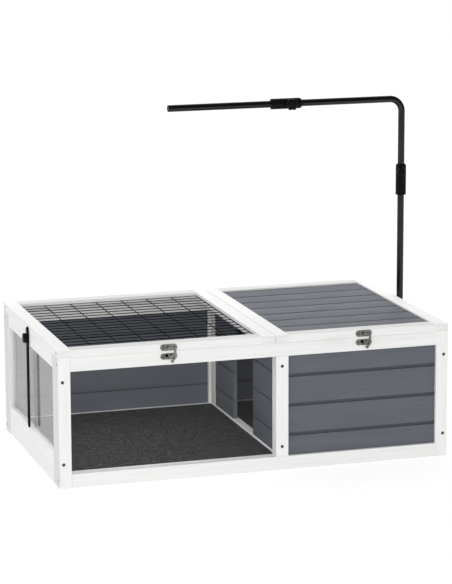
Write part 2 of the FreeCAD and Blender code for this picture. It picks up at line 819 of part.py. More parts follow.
def hinges(lid_holes):
    """Two hinges for each lid: leaves on the box, pins, and leaves on the lids."""
    body_rise = ("body_leaf_top - leaf_height", "body_leaf_top")
    lid_rise = ("lid_leaf_low", "lid_leaf_low + leaf_height")
    body_leaves = []
    pins = []
    for number, middle in enumerate(all_hinges, 1):
        leaf = hinge_leaf(
            f"body_leaf_{number}", middle, body_rise, (0, 2), ("body_leaf_top", "hinge_z"), "0", body_holes,
        )
        body_leaves.append(leaf)
        span = (f"{middle} - leaf_length / 2", f"{middle} + leaf_length / 2")
        pins.append(rod(f"hinge_pin_{number}", "x", "pin_radius", x=span, y="hinge_y", z="hinge_z"))
    sub_part("hinge_body_leaves", group("hinge_body_leaves", *body_leaves))
    sub_part("hinge_pins", group("hinge_pins", *pins))
    for lid, holes in lid_holes.items():
        leaves = [
            hinge_leaf(
                f"{lid}_leaf_{number}", middle, lid_rise, (1,), ("hinge_z", "lid_leaf_low"),
                "hinge_standoff", holes,
            )
            for number, middle in enumerate(hinge_places(lid), 1)
        ]
        sub_part(f"{lid}_hinge_leaves", group(f"{lid}_hinge_leaves", *leaves))


def fluted_knob(name, axis, radius, span, fluted_span, centre):
    """A round knob with shallow flutes round its rim."""
    disc = rod(name + "_disc", axis, radius, **{axis: span}, **centre)
    crowned = rounded(name + "_crowned", disc, (1, 3), measure("knob_crown"))
    first, second = centre
    flutes = []
    for number in range(KNOB_FLUTES):
        turn = 2 * math.pi * (number + 0.5) / KNOB_FLUTES
        reach = f"({radius} + flute_radius / 2)"
        places = {
            first: f"{centre[first]} + {reach} * {math.cos(turn):.6f}",
            second: f"{centre[second]} + {reach} * {math.sin(turn):.6f}",
        }
        flutes.append(rod(f"{name}_flute_{number}", axis, "flute_radius", **{axis: fluted_span}, **places))
    return cut(name + "_fluted", crowned, group(name + "_flutes", *flutes))


def both_sides(label, piece):
    """A fitting of the mesh lid on the left, and its mirror image for the roof lid on the right."""
    sub_part(f"mesh_{label}", piece)
    sub_part(f"roof_{label}", mirrored(f"roof_{label}", piece, "x"))


def stays():
    """Slotted stay arms that hang from the lids, their pivots, and the studs and knobs that clamp them."""
    middle = "stay_place"
    pin = {"y": middle, "z": "stay_pin_z"}
    stud = {"y": middle, "z": "stay_stud_z"}
    thickness = ("stay_outside", "stay_inside")
    foot = "stay_pin_z - stay_reach"
    half = "stay_width / 2"
    width = (f"{middle} - {half}", f"{middle} + {half}")
    bar = joined(
        "stay_bar",
        block("stay_strip", x=thickness, y=width, z=(foot, "stay_pin_z")),
        rod("stay_top", "x", half, x=thickness, **pin),
        rod("stay_foot", "x", half, x=thickness, y=middle, z=foot),
    )
    slot = "(stud_radius + slot_clear)"
    slot_width = (f"{middle} - {slot}", f"{middle} + {slot}")
    through = ("stay_outside - drill_past", "stay_inside + drill_past")
    openings = joined(
        "stay_openings",
        rod("stay_pin_hole", "x", "stud_radius + stay_play", x=through, **pin),
        rod("stay_slot_top", "x", slot, x=through, **stud),
        block("stay_slot", x=through, y=slot_width, z=(foot, "stay_stud_z")),
        rod("stay_slot_foot", "x", slot, x=through, y=middle, z=foot),
    )
    both_sides("stay_arm", cut("mesh_stay_arm", bar, openings))

    head = ("knob_seat - pivot_head_height", "knob_seat")
    pivot = joined(
        "mesh_stay_pivot",
        rod("pivot_head", "x", "pivot_head_radius", x=head, **pin),
        rod("pivot_shank", "x", "stud_radius", x=("knob_seat", "left + stud_depth"), **pin),
        rod("pivot_washer", "x", "pivot_head_radius", x=("stay_inside + stay_play", "left"), **pin),
    )
    both_sides("stay_pivot", pivot)

    knob_face = "knob_seat - stay_knob_thick"
    stud_tip = f"{knob_face} + 2 * knob_crown"
    left_stud = joined(
        "left_stud",
        rod("stud_shank", "x", "stud_radius", x=(stud_tip, "left + stud_depth"), **stud),
        rod("stud_washer", "x", "pivot_head_radius", x=("stay_inside + stay_play", "left"), **stud),
    )
    sub_part("stay_studs", group("stay_studs", left_stud, mirrored("right_stud", left_stud, "x")))

    grip = fluted_knob(
        "stay_knob", "x", "stay_knob_radius", (knob_face, "knob_seat"),
        (f"{knob_face} - drill_past", "knob_seat + drill_past"), stud,
    )
    bore_run = (f"{stud_tip} - stay_play", "knob_seat + drill_past")
    bore = rod("stay_knob_bore", "x", "stud_radius + turn_fit", x=bore_run, **stud)
    both_sides("stay_knob", cut("mesh_stay_knob", grip, bore))


def latch_plate(name, middle, holes):
    """An obround plate on a lid's front with the rivet that carries the hook."""
    half = "(latch_length - latch_height) / 2"
    plate = capsule(
        name + "_plate", (f"{middle} - {half}", "lid_middle"), (f"{middle} + {half}", "lid_middle"),
        "latch_height / 2", y=("plate_face", "front"),
    )
    tip = "hook_face - hook_play"
    pivot = {"x": middle, "z": "rivet_z"}
    rivet = rod(name + "_rivet", "y", "rivet_radius", y=(tip, "plate_face"), **pivot)
    head = rod(name + "_rivet_head", "y", "rivet_head_radius", y=(f"{tip} - rivet_head_height", tip), **pivot)
    return joined(name, cut(name + "_drilled", plate, holes), rivet, head)


def latch_hook(name, middle):
    """A flat hook hung from the rivet: a hub, an arm, a drop, a slanted finger and a tail with a bulb."""
    depth = ("hook_face", "hook_back")
    half = "hook_width / 2"
    corner = (f"{middle} + hook_reach", "rivet_z - rivet_radius")
    low = (f"{middle} + hook_reach", "rivet_z - hook_drop")
    knuckle = (low[0], f"{low[1]} + finger_rise")
    finger_tip = (f"{low[0]} - finger_length", f"{knuckle[1]} - finger_fall")
    tail = (f"{low[0]} - tail_shift", f"{low[1]} - tail_drop")
    outline = joined(
        name + "_outline",
        rod(name + "_hub", "y", "hook_width", x=middle, y=depth, z="rivet_z"),
        capsule(name + "_arm", (middle, "rivet_z"), corner, half, y=depth),
        capsule(name + "_drop", corner, low, half, y=depth),
        capsule(name + "_finger", finger_tip, knuckle, half, y=depth),
        capsule(name + "_tail", low, tail, half, y=depth),
        rod(name + "_bulb", "y", "bulb_radius", x=tail[0], y=depth, z=tail[1]),
    )
    through = ("hook_face - drill_past", "hook_back + drill_past")
    eye = rod(name + "_eye", "y", "rivet_radius + hook_play", x=middle, y=through, z="rivet_z")
    return cut(name, outline, eye)


def keeper(name, middle):
    """An obround plate on the box's top rail, with a raised strap for the hook and a cup behind it."""
    half = "(latch_length - keeper_height) / 2"
    plate = capsule(
        name + "_plate", (f"{middle} - {half}", "keeper_z"), (f"{middle} + {half}", "keeper_z"),
        "keeper_height / 2", y=("plate_face", "front"),
    )
    mouth = f"{middle} + hook_reach - finger_length - hook_width / 2 - strap_clear"
    width = (f"{mouth} - strap_width", mouth)
    rise = ("keeper_z - strap_height / 2", "keeper_z + strap_height / 2")
    strap = block(name + "_strap", x=width, y=("strap_inside - strap_thick", "plate_face"), z=rise)
    tunnel = block(
        name + "_tunnel",
        x=(f"{width[0]} - drill_past", f"{mouth} + drill_past"),
        y=("strap_inside", "plate_face"),
        z=(f"{rise[0]} + strap_thick", f"{rise[1]} - strap_thick"),
    )
    cup_back = "front + pocket_depth - slip"
    hollow_run = ("plate_face - drill_past", f"{cup_back} - cup_wall")
    hollow = pocket(name + "_hollow", middle, "slip + cup_wall", hollow_run)
    cup = cut(name + "_cup", pocket(name + "_cup_outside", middle, "slip", ("front", cup_back)), hollow)
    pierced = cut(name + "_pierced", cut(name + "_drilled", plate, screw_holes), hollow)
    return joined(name, pierced, cut(name + "_bridge", strap, tunnel), cup)


def latches(lid_holes):
    """A swinging hook latch at the front of each lid."""
    keepers = [keeper(f"{side}_keeper", middle) for side, middle in LATCHES.items()]
    sub_part("latch_keepers", group("latch_keepers", *keepers))
    for side, middle in LATCHES.items():
        plate = f"{side}_latch_plate"
        sub_part(plate, latch_plate(plate, middle, lid_holes[f"{side}_lid"]))
        hook = f"{side}_latch_hook"
        sub_part(hook, latch_hook(hook, middle))


def upright(name, radius, low, high):
    """A round bar on the pole's axis."""
    return rod(name, "z", radius, x="pole_x", y="pole_place", z=(low, high))


def level_bar(name, radius, low, high):
    """A round bar on the lamp arm's axis."""
    return rod(name, "x", radius, x=(low, high), y="pole_place", z="arm_level")


def bent_bar(name, radius, past):
    """A bar that rises from the height collar, bends over and runs to the arm collar.

    past is how far the bar runs on beyond both ends.
    """
    bend = doc.addObject("Part::Torus", name + "_bend")
    bend.Placement.Rotation = FreeCAD.Rotation(NORMALS["x"], 90)
    bend.Angle3 = 90
    bend.setExpression("Radius1", formula("bend_radius"))
    bend.setExpression("Radius2", formula(radius))
    bend.setExpression("Placement.Base.x", formula("bend_x"))
    bend.setExpression("Placement.Base.y", formula("pole_place"))
    bend.setExpression("Placement.Base.z", formula("bend_z"))
    return joined(
        name,
        upright(name + "_rise", radius, f"collar_top - {past}", "bend_z"),
        bend,
        level_bar(name + "_run", radius, f"arm_collar_right - {past}", "bend_x"),
    )


def clamp_knob(name, radius, centre):
    """A fluted knob with the stem that presses on the inner tube."""
    front_face = "clamp_seat - clamp_knob_thick"
    grip = fluted_knob(
        name, "y", radius, (front_face, "clamp_seat"),
        (f"{front_face} - drill_past", "clamp_seat + drill_past"), centre,
    )
    tip = "pole_place - inner_radius - stay_play"
    stem = rod(name + "_stem", "y", "clamp_stem_radius", y=("clamp_seat", tip), **centre)
    return joined(name + "_whole", grip, stem)


def collar(name, bar, low, high, centre):
    """A clamp collar: a sleeve seated on its own tube, a lip round the inner tube and a boss."""
    blank = bar(name + "_blank", "collar_radius", low, high)
    sleeve = rounded(name + "_sleeve", blank, (1, 3), measure("collar_round"))
    boss = rod(name + "_boss", "y", "boss_radius", y=("boss_face", "pole_place"), **centre)
    seat = bar(name + "_seat", "tube_radius + slide_fit", f"{low} - drill_past", f"{high} - collar_lip")
    lip = bar(name + "_lip", "inner_radius + slide_fit", low, f"{high} + drill_past")
    stem_run = ("boss_face - drill_past", "pole_place")
    stem = rod(name + "_stem_hole", "y", "clamp_stem_radius + slide_fit", y=stem_run, **centre)
    return cut(name, joined(name + "_solid", sleeve, boss), joined(name + "_bores", seat, lip, stem))


def turned(piece):
    """The piece turned round the pole, so that its knob looks towards the front left."""
    pole = FreeCAD.Vector(measure("pole_x"), measure("pole_place"), 0)
    turn = FreeCAD.Rotation(NORMALS["z"], measure("clamp_turn"))
    piece.Placement = FreeCAD.Placement(FreeCAD.Vector(), turn, pole)
    return piece


def pole_clip(name, level):
    """A clip that holds the pole off the right wall: a screwed plate, a neck and a ring."""
    rise = (f"{level} - clip_width / 2", f"{level} + clip_width / 2")
    plate_run = ("pole_place - clip_reach", "pole_place + clip_reach")
    plate = block(name + "_plate", x=("right", "right + clip_plate"), y=plate_run, z=rise)
    neck_run = ("pole_place - clip_neck", "pole_place + clip_neck")
    neck = block(name + "_neck", x=("right", "pole_x"), y=neck_run, z=rise)
    solid = joined(name + "_solid", plate, neck, upright(name + "_ring", "tube_radius + clip_wall", *rise))
    grip = upright(
        name + "_grip", "tube_radius + slide_fit", f"{rise[0]} - drill_past", f"{rise[1]} + drill_past",
    )
    return cut(name, cut(name + "_bored", solid, grip), body_holes)


def lamp_holder():
    """A black tube mast that slides and swivels, with an arm that slides out over the box."""
    lip_low = "collar_top - collar_lip"
    lower = cut(
        "lower_tube",
        upright("lower_outside", "tube_radius", "tube_foot", lip_low),
        upright("lower_bore", "tube_bore", "tube_foot - drill_past", f"{lip_low} + drill_past"),
    )
    sub_part("lower_tube", lower)
    clips = [pole_clip(f"{end}_clip", f"{end}_clip_z") for end in ("foot", "head")]
    sub_part("pole_clips", group("pole_clips", *clips))
    height_centre = {"x": "pole_x", "z": "clamp_z"}
    height_collar = collar("height_collar", upright, "collar_low", "collar_top", height_centre)
    sub_part("height_collar", turned(height_collar))
    sub_part("height_knob", turned(clamp_knob("height_knob", "height_knob_radius", height_centre)))
    inner_bore = "inner_radius - inner_wall"
    inner_low = "collar_top - inner_reach"
    inner_high = "collar_top + inner_grip"
    inner = cut(
        "mast_inner_tube",
        upright("inner_outside", "inner_radius", inner_low, inner_high),
        upright("inner_bore", inner_bore, f"{inner_low} - drill_past", f"{inner_high} + drill_past"),
    )
    sub_part("mast_inner_tube", inner)
    mast_outside = bent_bar("mast_outside", "tube_radius", "0")
    mast_bore = bent_bar("mast_bore", "tube_bore", "drill_past")
    sub_part("mast_tube", cut("mast_tube", mast_outside, mast_bore))
    arm_lip = "arm_collar_right - collar_lip"
    arm_centre = {"x": "clamp_x", "z": "arm_level"}
    arm_collar = collar("arm_collar", level_bar, "arm_collar_left", "arm_collar_right", arm_centre)
    sub_part("arm_collar", arm_collar)
    sub_part("arm_knob", clamp_knob("arm_knob", "arm_knob_radius", arm_centre))
    arm_inner_low = "arm_collar_right - arm_inner_reach"
    arm_inner_high = "arm_collar_right + arm_inner_grip"
    arm_inner = cut(
        "arm_inner_tube",
        level_bar("arm_inner_outside", "inner_radius", arm_inner_low, arm_inner_high),
        level_bar(
            "arm_inner_bore", inner_bore, f"{arm_inner_low} - drill_past", f"{arm_inner_high} + drill_past",
        ),
    )
    sub_part("arm_inner_tube", arm_inner)
    arm = cut(
        "arm_tube",
        level_bar("arm_outside", "tube_radius", "arm_tip", arm_lip),
        level_bar("arm_bore", "tube_bore", "arm_tip - drill_past", f"{arm_lip} + drill_past"),
    )
    sub_part("arm_tube", arm)
    cap = joined(
        "arm_end_cap",
        level_bar("cap_disc", "tube_radius", "arm_tip - cap_thick", "arm_tip"),
        level_bar("cap_stem", "tube_bore - slide_fit", "arm_tip", "arm_tip + cap_plug"),
    )
    sub_part("arm_end_cap", cap)


def lids():
    """The mesh lid and the roof lid with their screws, hinges and latches."""
    infill_thick = {"mesh_lid": "wire", "roof_lid": "roof_board_thick"}
    latch_places = {"mesh_lid": "mesh_latch_place", "roof_lid": "roof_latch_place"}
    pivot_bores = dict(zip(LIDS, stay_bore("pivot_bore", "stay_pin_z")))
    lid_holes = {}
    for lid in LIDS:
        pieces, bores = lid_screws(lid, latch_places[lid])
        lid_holes[lid] = joined(f"{lid}_holes", *bores, pivot_bores[lid])
        lid_rails(lid, lid_holes[lid], infill_thick[lid])
        sub_part(f"{lid}_screws", group(f"{lid}_screws", *pieces))
    wire_mesh()
    roof_boards()
    hinges(lid_holes)
    latches(lid_holes)


def check():
    """Stop before writing if an object failed or a sub-part has no sound shape."""
    for piece in doc.Objects:
        if {"Invalid", "Error"} & set(piece.State):
            raise RuntimeError(f"{piece.Name} failed: {piece.State}")
    for piece in parts:
        if piece.Shape.isNull() or not piece.Shape.isValid() or not piece.Shape.Solids:
            raise RuntimeError(f"{piece.Label} has no sound shape")


frame()
infill()
floor()
lids()
stays()
lamp_holder()
sub_part("body_screws", group("body_screws", *body_screw_pieces))
doc.recompute()
check()
os.makedirs("parts", exist_ok=True)
for piece in parts:
    piece.Shape.exportStep(f"parts/{piece.Label}.step")
print(len(parts), "sub-parts written")
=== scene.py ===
import json
import math

import bpy
import numpy as np
from bpy.props import FloatProperty, FloatVectorProperty, IntProperty, PointerProperty
from mathutils import Matrix, Vector

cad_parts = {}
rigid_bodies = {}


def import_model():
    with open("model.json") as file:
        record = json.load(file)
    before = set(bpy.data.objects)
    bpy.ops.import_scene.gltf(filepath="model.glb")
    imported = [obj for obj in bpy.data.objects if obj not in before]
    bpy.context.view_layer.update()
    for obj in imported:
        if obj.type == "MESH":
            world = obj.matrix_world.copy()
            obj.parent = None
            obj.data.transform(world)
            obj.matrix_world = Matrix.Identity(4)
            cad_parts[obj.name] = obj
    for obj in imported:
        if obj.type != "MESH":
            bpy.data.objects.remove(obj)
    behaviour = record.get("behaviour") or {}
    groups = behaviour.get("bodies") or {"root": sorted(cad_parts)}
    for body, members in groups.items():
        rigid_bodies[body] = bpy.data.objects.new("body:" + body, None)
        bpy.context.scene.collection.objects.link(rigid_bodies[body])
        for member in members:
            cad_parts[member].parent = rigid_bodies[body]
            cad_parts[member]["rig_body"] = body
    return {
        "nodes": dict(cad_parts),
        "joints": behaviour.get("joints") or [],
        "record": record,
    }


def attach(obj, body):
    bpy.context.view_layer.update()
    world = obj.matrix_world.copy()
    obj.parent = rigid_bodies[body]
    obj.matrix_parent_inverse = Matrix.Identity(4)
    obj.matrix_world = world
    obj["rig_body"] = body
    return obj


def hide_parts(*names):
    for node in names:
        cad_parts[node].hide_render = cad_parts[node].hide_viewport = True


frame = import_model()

bl_info = {
    "name": "Tortoise Table",
    "version": (1, 0, 0),
    "blender": (4, 5, 0),
    "location": "3D View > Sidebar > Tortoise Table",
    "description": "Finishes and fine pieces for a two-room tortoise table with a lamp arm",
    "category": "Object",
}

NODES = frame["nodes"]
JOINTS = {joint["name"]: joint for joint in frame["joints"]}
SLOTS = {part["node"]: part["material_slot"] for part in frame["record"]["subparts"]}
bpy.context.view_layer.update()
MM = 0.001
TINY = 0.02 * MM
X, Y, Z = range(3)
AXIS_NAMES = "xyz"
WHITE = (1.0, 1.0, 1.0, 1.0)
FULL_TURN = 2 * math.pi
QUARTER_TURN = math.pi / 2
GOLDEN_TURN = math.pi * (3 - math.sqrt(5))
QUARTER_STEPS = 6
GRAIN_SHIFT = (1.73, 0.61, 0.37)
SCREW_NODES = ("body_screws", "mesh_lid_screws", "roof_lid_screws")
KNOB_NODES = ("mesh_stay_knob", "roof_stay_knob", "height_knob", "arm_knob")
STAY_STEEL_NODES = ("mesh_stay_pivot", "roof_stay_pivot", "stay_studs")


def linear(*steps):
    """Scene-linear colour, by the sRGB curve, of a display colour given in steps of 0 to 255."""
    share = np.array(steps) / 255
    curve, line = ((share + 0.055) / 1.055) ** 2.4, share / 12.92
    return tuple(np.where(share > 0.04045, curve, line).tolist())


def colour(name, description, *steps):
    """A colour property whose default is a display colour."""
    return FloatVectorProperty(
        name=name, description=description, default=linear(*steps), subtype="COLOR", min=0, max=1,
    )


def length(name, description, millimetres):
    """A length property whose default is given in millimetres."""
    return FloatProperty(
        name=name, description=description, default=millimetres * MM, unit="LENGTH", min=0,
        precision=5,
    )


def angle(name, description, degrees):
    """An angle property whose default is given in degrees."""
    return FloatProperty(
        name=name, description=description, default=math.radians(degrees), unit="ROTATION",
        subtype="ANGLE",
    )


def number(name, description, value, least):
    """A property for a whole number."""
    return IntProperty(name=name, description=description, default=value, min=least)


def portion(name, description, value):
    """A property for a part of a whole, from 0 to 1."""
    return FloatProperty(
        name=name, description=description, default=value, subtype="FACTOR", min=0, max=1
    )


def brightness(name, description, value):
    """A property for a strength of light, where 1 shows white."""
    return FloatProperty(name=name, description=description, default=value, min=0)


def lamp_power(name, description, watts):
    """A property for the power of a lamp."""
    return FloatProperty(name=name, description=description, default=watts, unit="POWER", min=0)


def point(name, description, *metres):
    """A property for a point or for the sides of a lamp."""
    return FloatVectorProperty(
        name=name, description=description, default=metres, size=len(metres), subtype="XYZ",
        unit="LENGTH",
    )


class TableColours(bpy.types.PropertyGroup):
    """Colours of the finishes."""

    # One white paint in three tones by the way each piece runs: painted light and shade. The rails
    # from front to back are painted lighter, and the rails along the front and back darker, for how
    # the light falls on their tops. The ends take their own colour, so that the painted lighter tone
    # of the side rails stays off their ends.
    white_rail_painted_shade: colour("White rails", "Rails along the front and back", 230, 230, 229)
    white_side_painted_light: colour("White sides", "Rails from front to back", 253, 253, 252)
    white_post: colour("White posts", "Upright posts and stiles", 232, 232, 231)
    white_end: colour("White ends", "Ends of posts, stiles and rails", 219, 219, 218)
    white_sunk: portion("White in the grain", "Tone of the paint that sinks into the grain", 0.84)
    # The front boards take a darker copy of the grey paint than the roof and the other walls: painted
    # light and shade.
    grey_front_painted_shade: colour("Grey front paint", "Boards of the front", 95, 99, 106)
    grey_paint: colour("Grey paint", "Boards of the roof and of the other walls", 98, 102, 110)
    grey_sunk: portion("Grey in the grain", "Tone of the paint that sinks into the grain", 0.74)
    # Painted shade: the grooves and shoulders between boards are painted darker, where shade falls.
    groove_painted_shade: colour("Grey paint in the grooves", "Thin paint between two boards", 71, 74, 81)
    pine: colour("Bare pine", "Floor panels and battens", 214, 182, 138)
    pine_shade: colour("Bare pine, late wood", "Dark lines of the grain", 178, 138, 92)
    liner: colour("Floor liner", "Ground colour of the granulated liner", 58, 58, 59)
    liner_dark: colour("Dark liner", "Dark clouds in the liner", 40, 40, 41)
    liner_speck: colour("Liner speck", "Pale grains in the liner", 106, 106, 105)
    black_coat: colour("Black coat", "Powder coat on tubes, wires and stays", 13, 13, 14)
    black_plastic: colour("Black plastic", "Collars, knobs and caps", 14, 14, 15)
    zinc: colour("Zinc", "Latches and hinges", 164, 163, 158)
    zinc_dark: colour("Dark zinc", "Dull grains of the plating", 118, 117, 113)
    # Painted shadow: a near-black colour inside the keepers' cups, where shade falls.
    zinc_cup_painted_shadow: colour("Deep zinc", "Soiled plating in the keepers' cups", 22, 22, 22)
    pane_veil: portion("Pane veil", "Gloss of a pane seen straight on", 0.012)
    screw: colour("Screw steel", "Screws, and the pivots and studs of the stays", 86, 86, 86)


class TableShapes(bpy.types.PropertyGroup):
    """Sizes of the fine pieces."""

    board_round: length("Board shoulder", "Radius of the wall boards' long edges", 1.0)
    roof_round: length("Roof board shoulder", "Radius of the roof boards' long edges", 2.4)
    wire_press: length("Wire press", "From the mesh's middle to each layer of wires", 0.3)
    wire_sides: number("Wire sides", "Sides of a round wire", 10, least=6)
    liner_roll: length("Liner edge", "Radius of the liner's top edge", 1.2)
    liner_wave: length("Liner wave", "How far the liner rises and falls", 0.35)
    screw_recess: portion("Screw recess", "Depth of the cross as a part of the head's height", 0.55)
    knob_flutes: number("Knob flutes", "Hollows round a knob", 6, least=3)
    flute_depth: length("Flute depth", "Depth of the hollows round a knob", 2.5)
    zinc_edge: length("Zinc edge", "Width of the soft edges of hinges and latches", 0.35)


class TableStage(bpy.types.PropertyGroup):
    """Camera, floor and lamps."""

    azimuth: angle("Azimuth", "Turn of the camera round the table", -17.16)
    elevation: angle("Elevation", "Height of the camera above the horizon", 11.53)
    roll: angle("Roll", "Turn of the camera about its own axis", -0.23)
    distance: length("Distance", "From the camera to the point it looks at", 5899)
    aim: point("Aim", "Point that the camera and the lamps look at", 0.0124, 0, 0.3612)
    lens: FloatProperty(
        name="Lens", description="Focal length in millimetres", default=155.2, unit="CAMERA"
    )
    floor_size: length("Floor size", "Side of the square floor", 16000)
    floor_own: brightness("Floor's own white", "White of the floor that no shadow takes", 0.85)
    floor_far: brightness("Floor's far white", "The floor's own white far from the table", 0.93)
    floor_glow: brightness("Floor's glow", "The floor's own white that the table gets", 0.72)
    floor_lit: portion("Floor's lit white", "White of the floor that shadows take", 0.2)
    sky: brightness("Sky", "Light from all around", 0.55)
    top_power: lamp_power("Top lamp", "Lamp above the table's back", 26)
    top_place: point("Top lamp's place", "Middle of the top lamp", 0.25, 1.1, 1.9)
    top_sides: point("Top lamp's sides", "Width and height of the top lamp", 3.0, 1.2)
    key_power: lamp_power("Key lamp", "Lamp at the front", 101)
    key_place: point("Key lamp's place", "Middle of the key lamp", -1.3, -4.7, 1.2)
    key_sides: point("Key lamp's sides", "Width and height of the key lamp", 2.0, 2.0)
    fill_power: lamp_power("Fill lamp", "Lamp at the left", 19)
    fill_place: point("Fill lamp's place", "Middle of the fill lamp", -4.6, -1.6, 0.6)
    fill_sides: point("Fill lamp's sides", "Width and height of the fill lamp", 1.2, 1.2)


class TableSettings(bpy.types.PropertyGroup):
    """All settings of the table."""

    colours: PointerProperty(type=TableColours)
    shapes: PointerProperty(type=TableShapes)
    stage: PointerProperty(type=TableStage)


def settings():
    """The property groups of the open scene."""
    return bpy.context.scene.tortoise_table


class Tree:
    """Adds nodes to a node tree. Inputs are sockets to link or plain values, by name or place."""

    def __init__(self, tree):
        self.nodes = tree.nodes
        self.links = tree.links

    def add(self, kind, inputs=(), **values):
        """A new node of a kind, with its inputs and its own values set."""
        node = self.nodes.new(kind if kind.startswith("Node") else "ShaderNode" + kind)
        for name, value in values.items():
            setattr(node, name, value)
        for key, value in dict(inputs).items():
            if isinstance(value, bpy.types.NodeSocket):
                self.links.new(value, node.inputs[key])
            else:
                node.inputs[key].default_value = value
        return node

    def math(self, operation, first, second):
        """Result of an operation on two values."""
        return self.add("Math", {0: first, 1: second}, operation=operation).outputs[0]

    def total(self, *parts):
        """Sum of values, each multiplied by its weight."""
        whole, *others = [self.math("MULTIPLY", value, weight) for value, weight in parts]
        for other in others:
            whole = self.math("ADD", whole, other)
        return whole

    def span(self, value, start, end, low=0.0, high=1.0):
        """value carried from start..end to low..high, and held there."""
        places = {0: value, 1: start, 2: end, 3: low, 4: high}
        return self.add("MapRange", places).outputs[0]

    def blend(self, share, first, second):
        """Colour that goes from first to second, which are inputs 6 and 7 of a Mix node."""
        return self.add("Mix", {0: share, 6: first, 7: second}, data_type="RGBA").outputs[2]

    def stretch(self, vector, *scale):
        """A vector with each coordinate multiplied."""
        return self.add("VectorMath", {0: vector, 1: scale}, operation="MULTIPLY").outputs[0]

    def drawn_out(self, vector, along, across):
        """A vector whose X is multiplied by along, and whose Y and Z by across."""
        return self.stretch(vector, along, across, across)

    def noise(self, vector, scale=1.0, detail=2.0, distortion=0.0):
        """Noise from 0 to 1, with scale waves to a unit."""
        inputs = {"Vector": vector, "Scale": scale, "Detail": detail, "Distortion": distortion}
        return self.add("TexNoise", inputs).outputs[0]

    def group(self, group, inputs):
        """A node of a node group, with its own values."""
        return self.add("Group", inputs, node_tree=group).outputs


def solid(rgb):
    """A colour with full alpha."""
    return (*rgb, 1.0)


def new_group(name, inputs, outputs):
    """An empty node group, its tree helper and the sockets of its inputs and outputs."""
    group = bpy.data.node_groups.new(name, "ShaderNodeTree")
    for label, kind in inputs.items():
        group.interface.new_socket(label, in_out="INPUT", socket_type=kind)
    for label in outputs:
        group.interface.new_socket(label, in_out="OUTPUT", socket_type="NodeSocketFloat")
    tree = Tree(group)
    return group, tree, tree.add("NodeGroupInput").outputs, tree.add("NodeGroupOutput").inputs


def wood_grain():
    """Node group: streaks, lines, fibres and knots of wood whose grain runs along X.

    Streaks are noise drawn out along the grain, lines and fibres finer noises drawn out further,
    and knots the middles of sparse drawn-out cells.
    """
    name = "Wood Grain"
    if name in bpy.data.node_groups:
        return bpy.data.node_groups[name]
    marks = ("Streak", "Line", "Fibre", "Knot")
    group, tree, inputs, outputs = new_group(name, {"Vector": "NodeSocketVector"}, marks)
    place = inputs["Vector"]
    streak = tree.noise(tree.drawn_out(place, along=2.2, across=46), detail=5.0, distortion=0.6)
    line = tree.noise(tree.drawn_out(place, along=9, across=330), detail=3.0, distortion=0.4)
    fibre = tree.noise(tree.drawn_out(place, along=14, across=640), detail=3.0)
    long_cells = {"Vector": tree.drawn_out(place, along=4.3, across=13), "Scale": 1.0}
    from_middle = tree.add("TexVoronoi", long_cells).outputs["Distance"]
    knot = tree.span(from_middle, 0.05, 0.2, low=1.0, high=0.0)
    tree.links.new(tree.span(streak, 0.3, 0.72), outputs["Streak"])
    tree.links.new(tree.span(line, 0.42, 0.7), outputs["Line"])
    tree.links.new(fibre, outputs["Fibre"])
    tree.links.new(knot, outputs["Knot"])
    return group


def handling():
    """Node group: broad patches and fine specks that a surface gets from hands and dust."""
    name = "Handling"
    if name in bpy.data.node_groups:
        return bpy.data.node_groups[name]
    group, tree, inputs, outputs = new_group(name, {"Vector": "NodeSocketVector"}, ("Patch", "Speck"))
    patch = tree.noise(inputs["Vector"], scale=17.0, detail=4.0, distortion=0.4)
    speck = tree.noise(inputs["Vector"], scale=780.0)
    tree.links.new(tree.span(patch, 0.32, 0.68), outputs["Patch"])
    tree.links.new(speck, outputs["Speck"])
    return group


def new_material(name):
    """An empty node material and its tree helper."""
    made = bpy.data.materials.new(name)
    made.use_nodes = True
    made.node_tree.nodes.clear()
    return made, Tree(made.node_tree)


def finish_surface(tree, shader):
    """Links a shader to the material's output."""
    tree.links.new(shader, tree.add("OutputMaterial").inputs["Surface"])


def object_place(tree):
    """The point's place on the piece."""
    return tree.add("TexCoord").outputs["Object"]


def along_grain(tree, vector, axis):
    """The vector turned so that its X runs along the grain."""
    turns = {X: (0, 0, 0), Y: (0, 0, -QUARTER_TURN), Z: (0, QUARTER_TURN, 0)}
    return tree.add("Mapping", {"Vector": vector, "Rotation": turns[axis]}).outputs[0]


def bump(tree, height, distance):
    """Normal of a surface raised by a height from 0 to 1."""
    return tree.add("Bump", {"Height": height, "Distance": distance}).outputs[0]


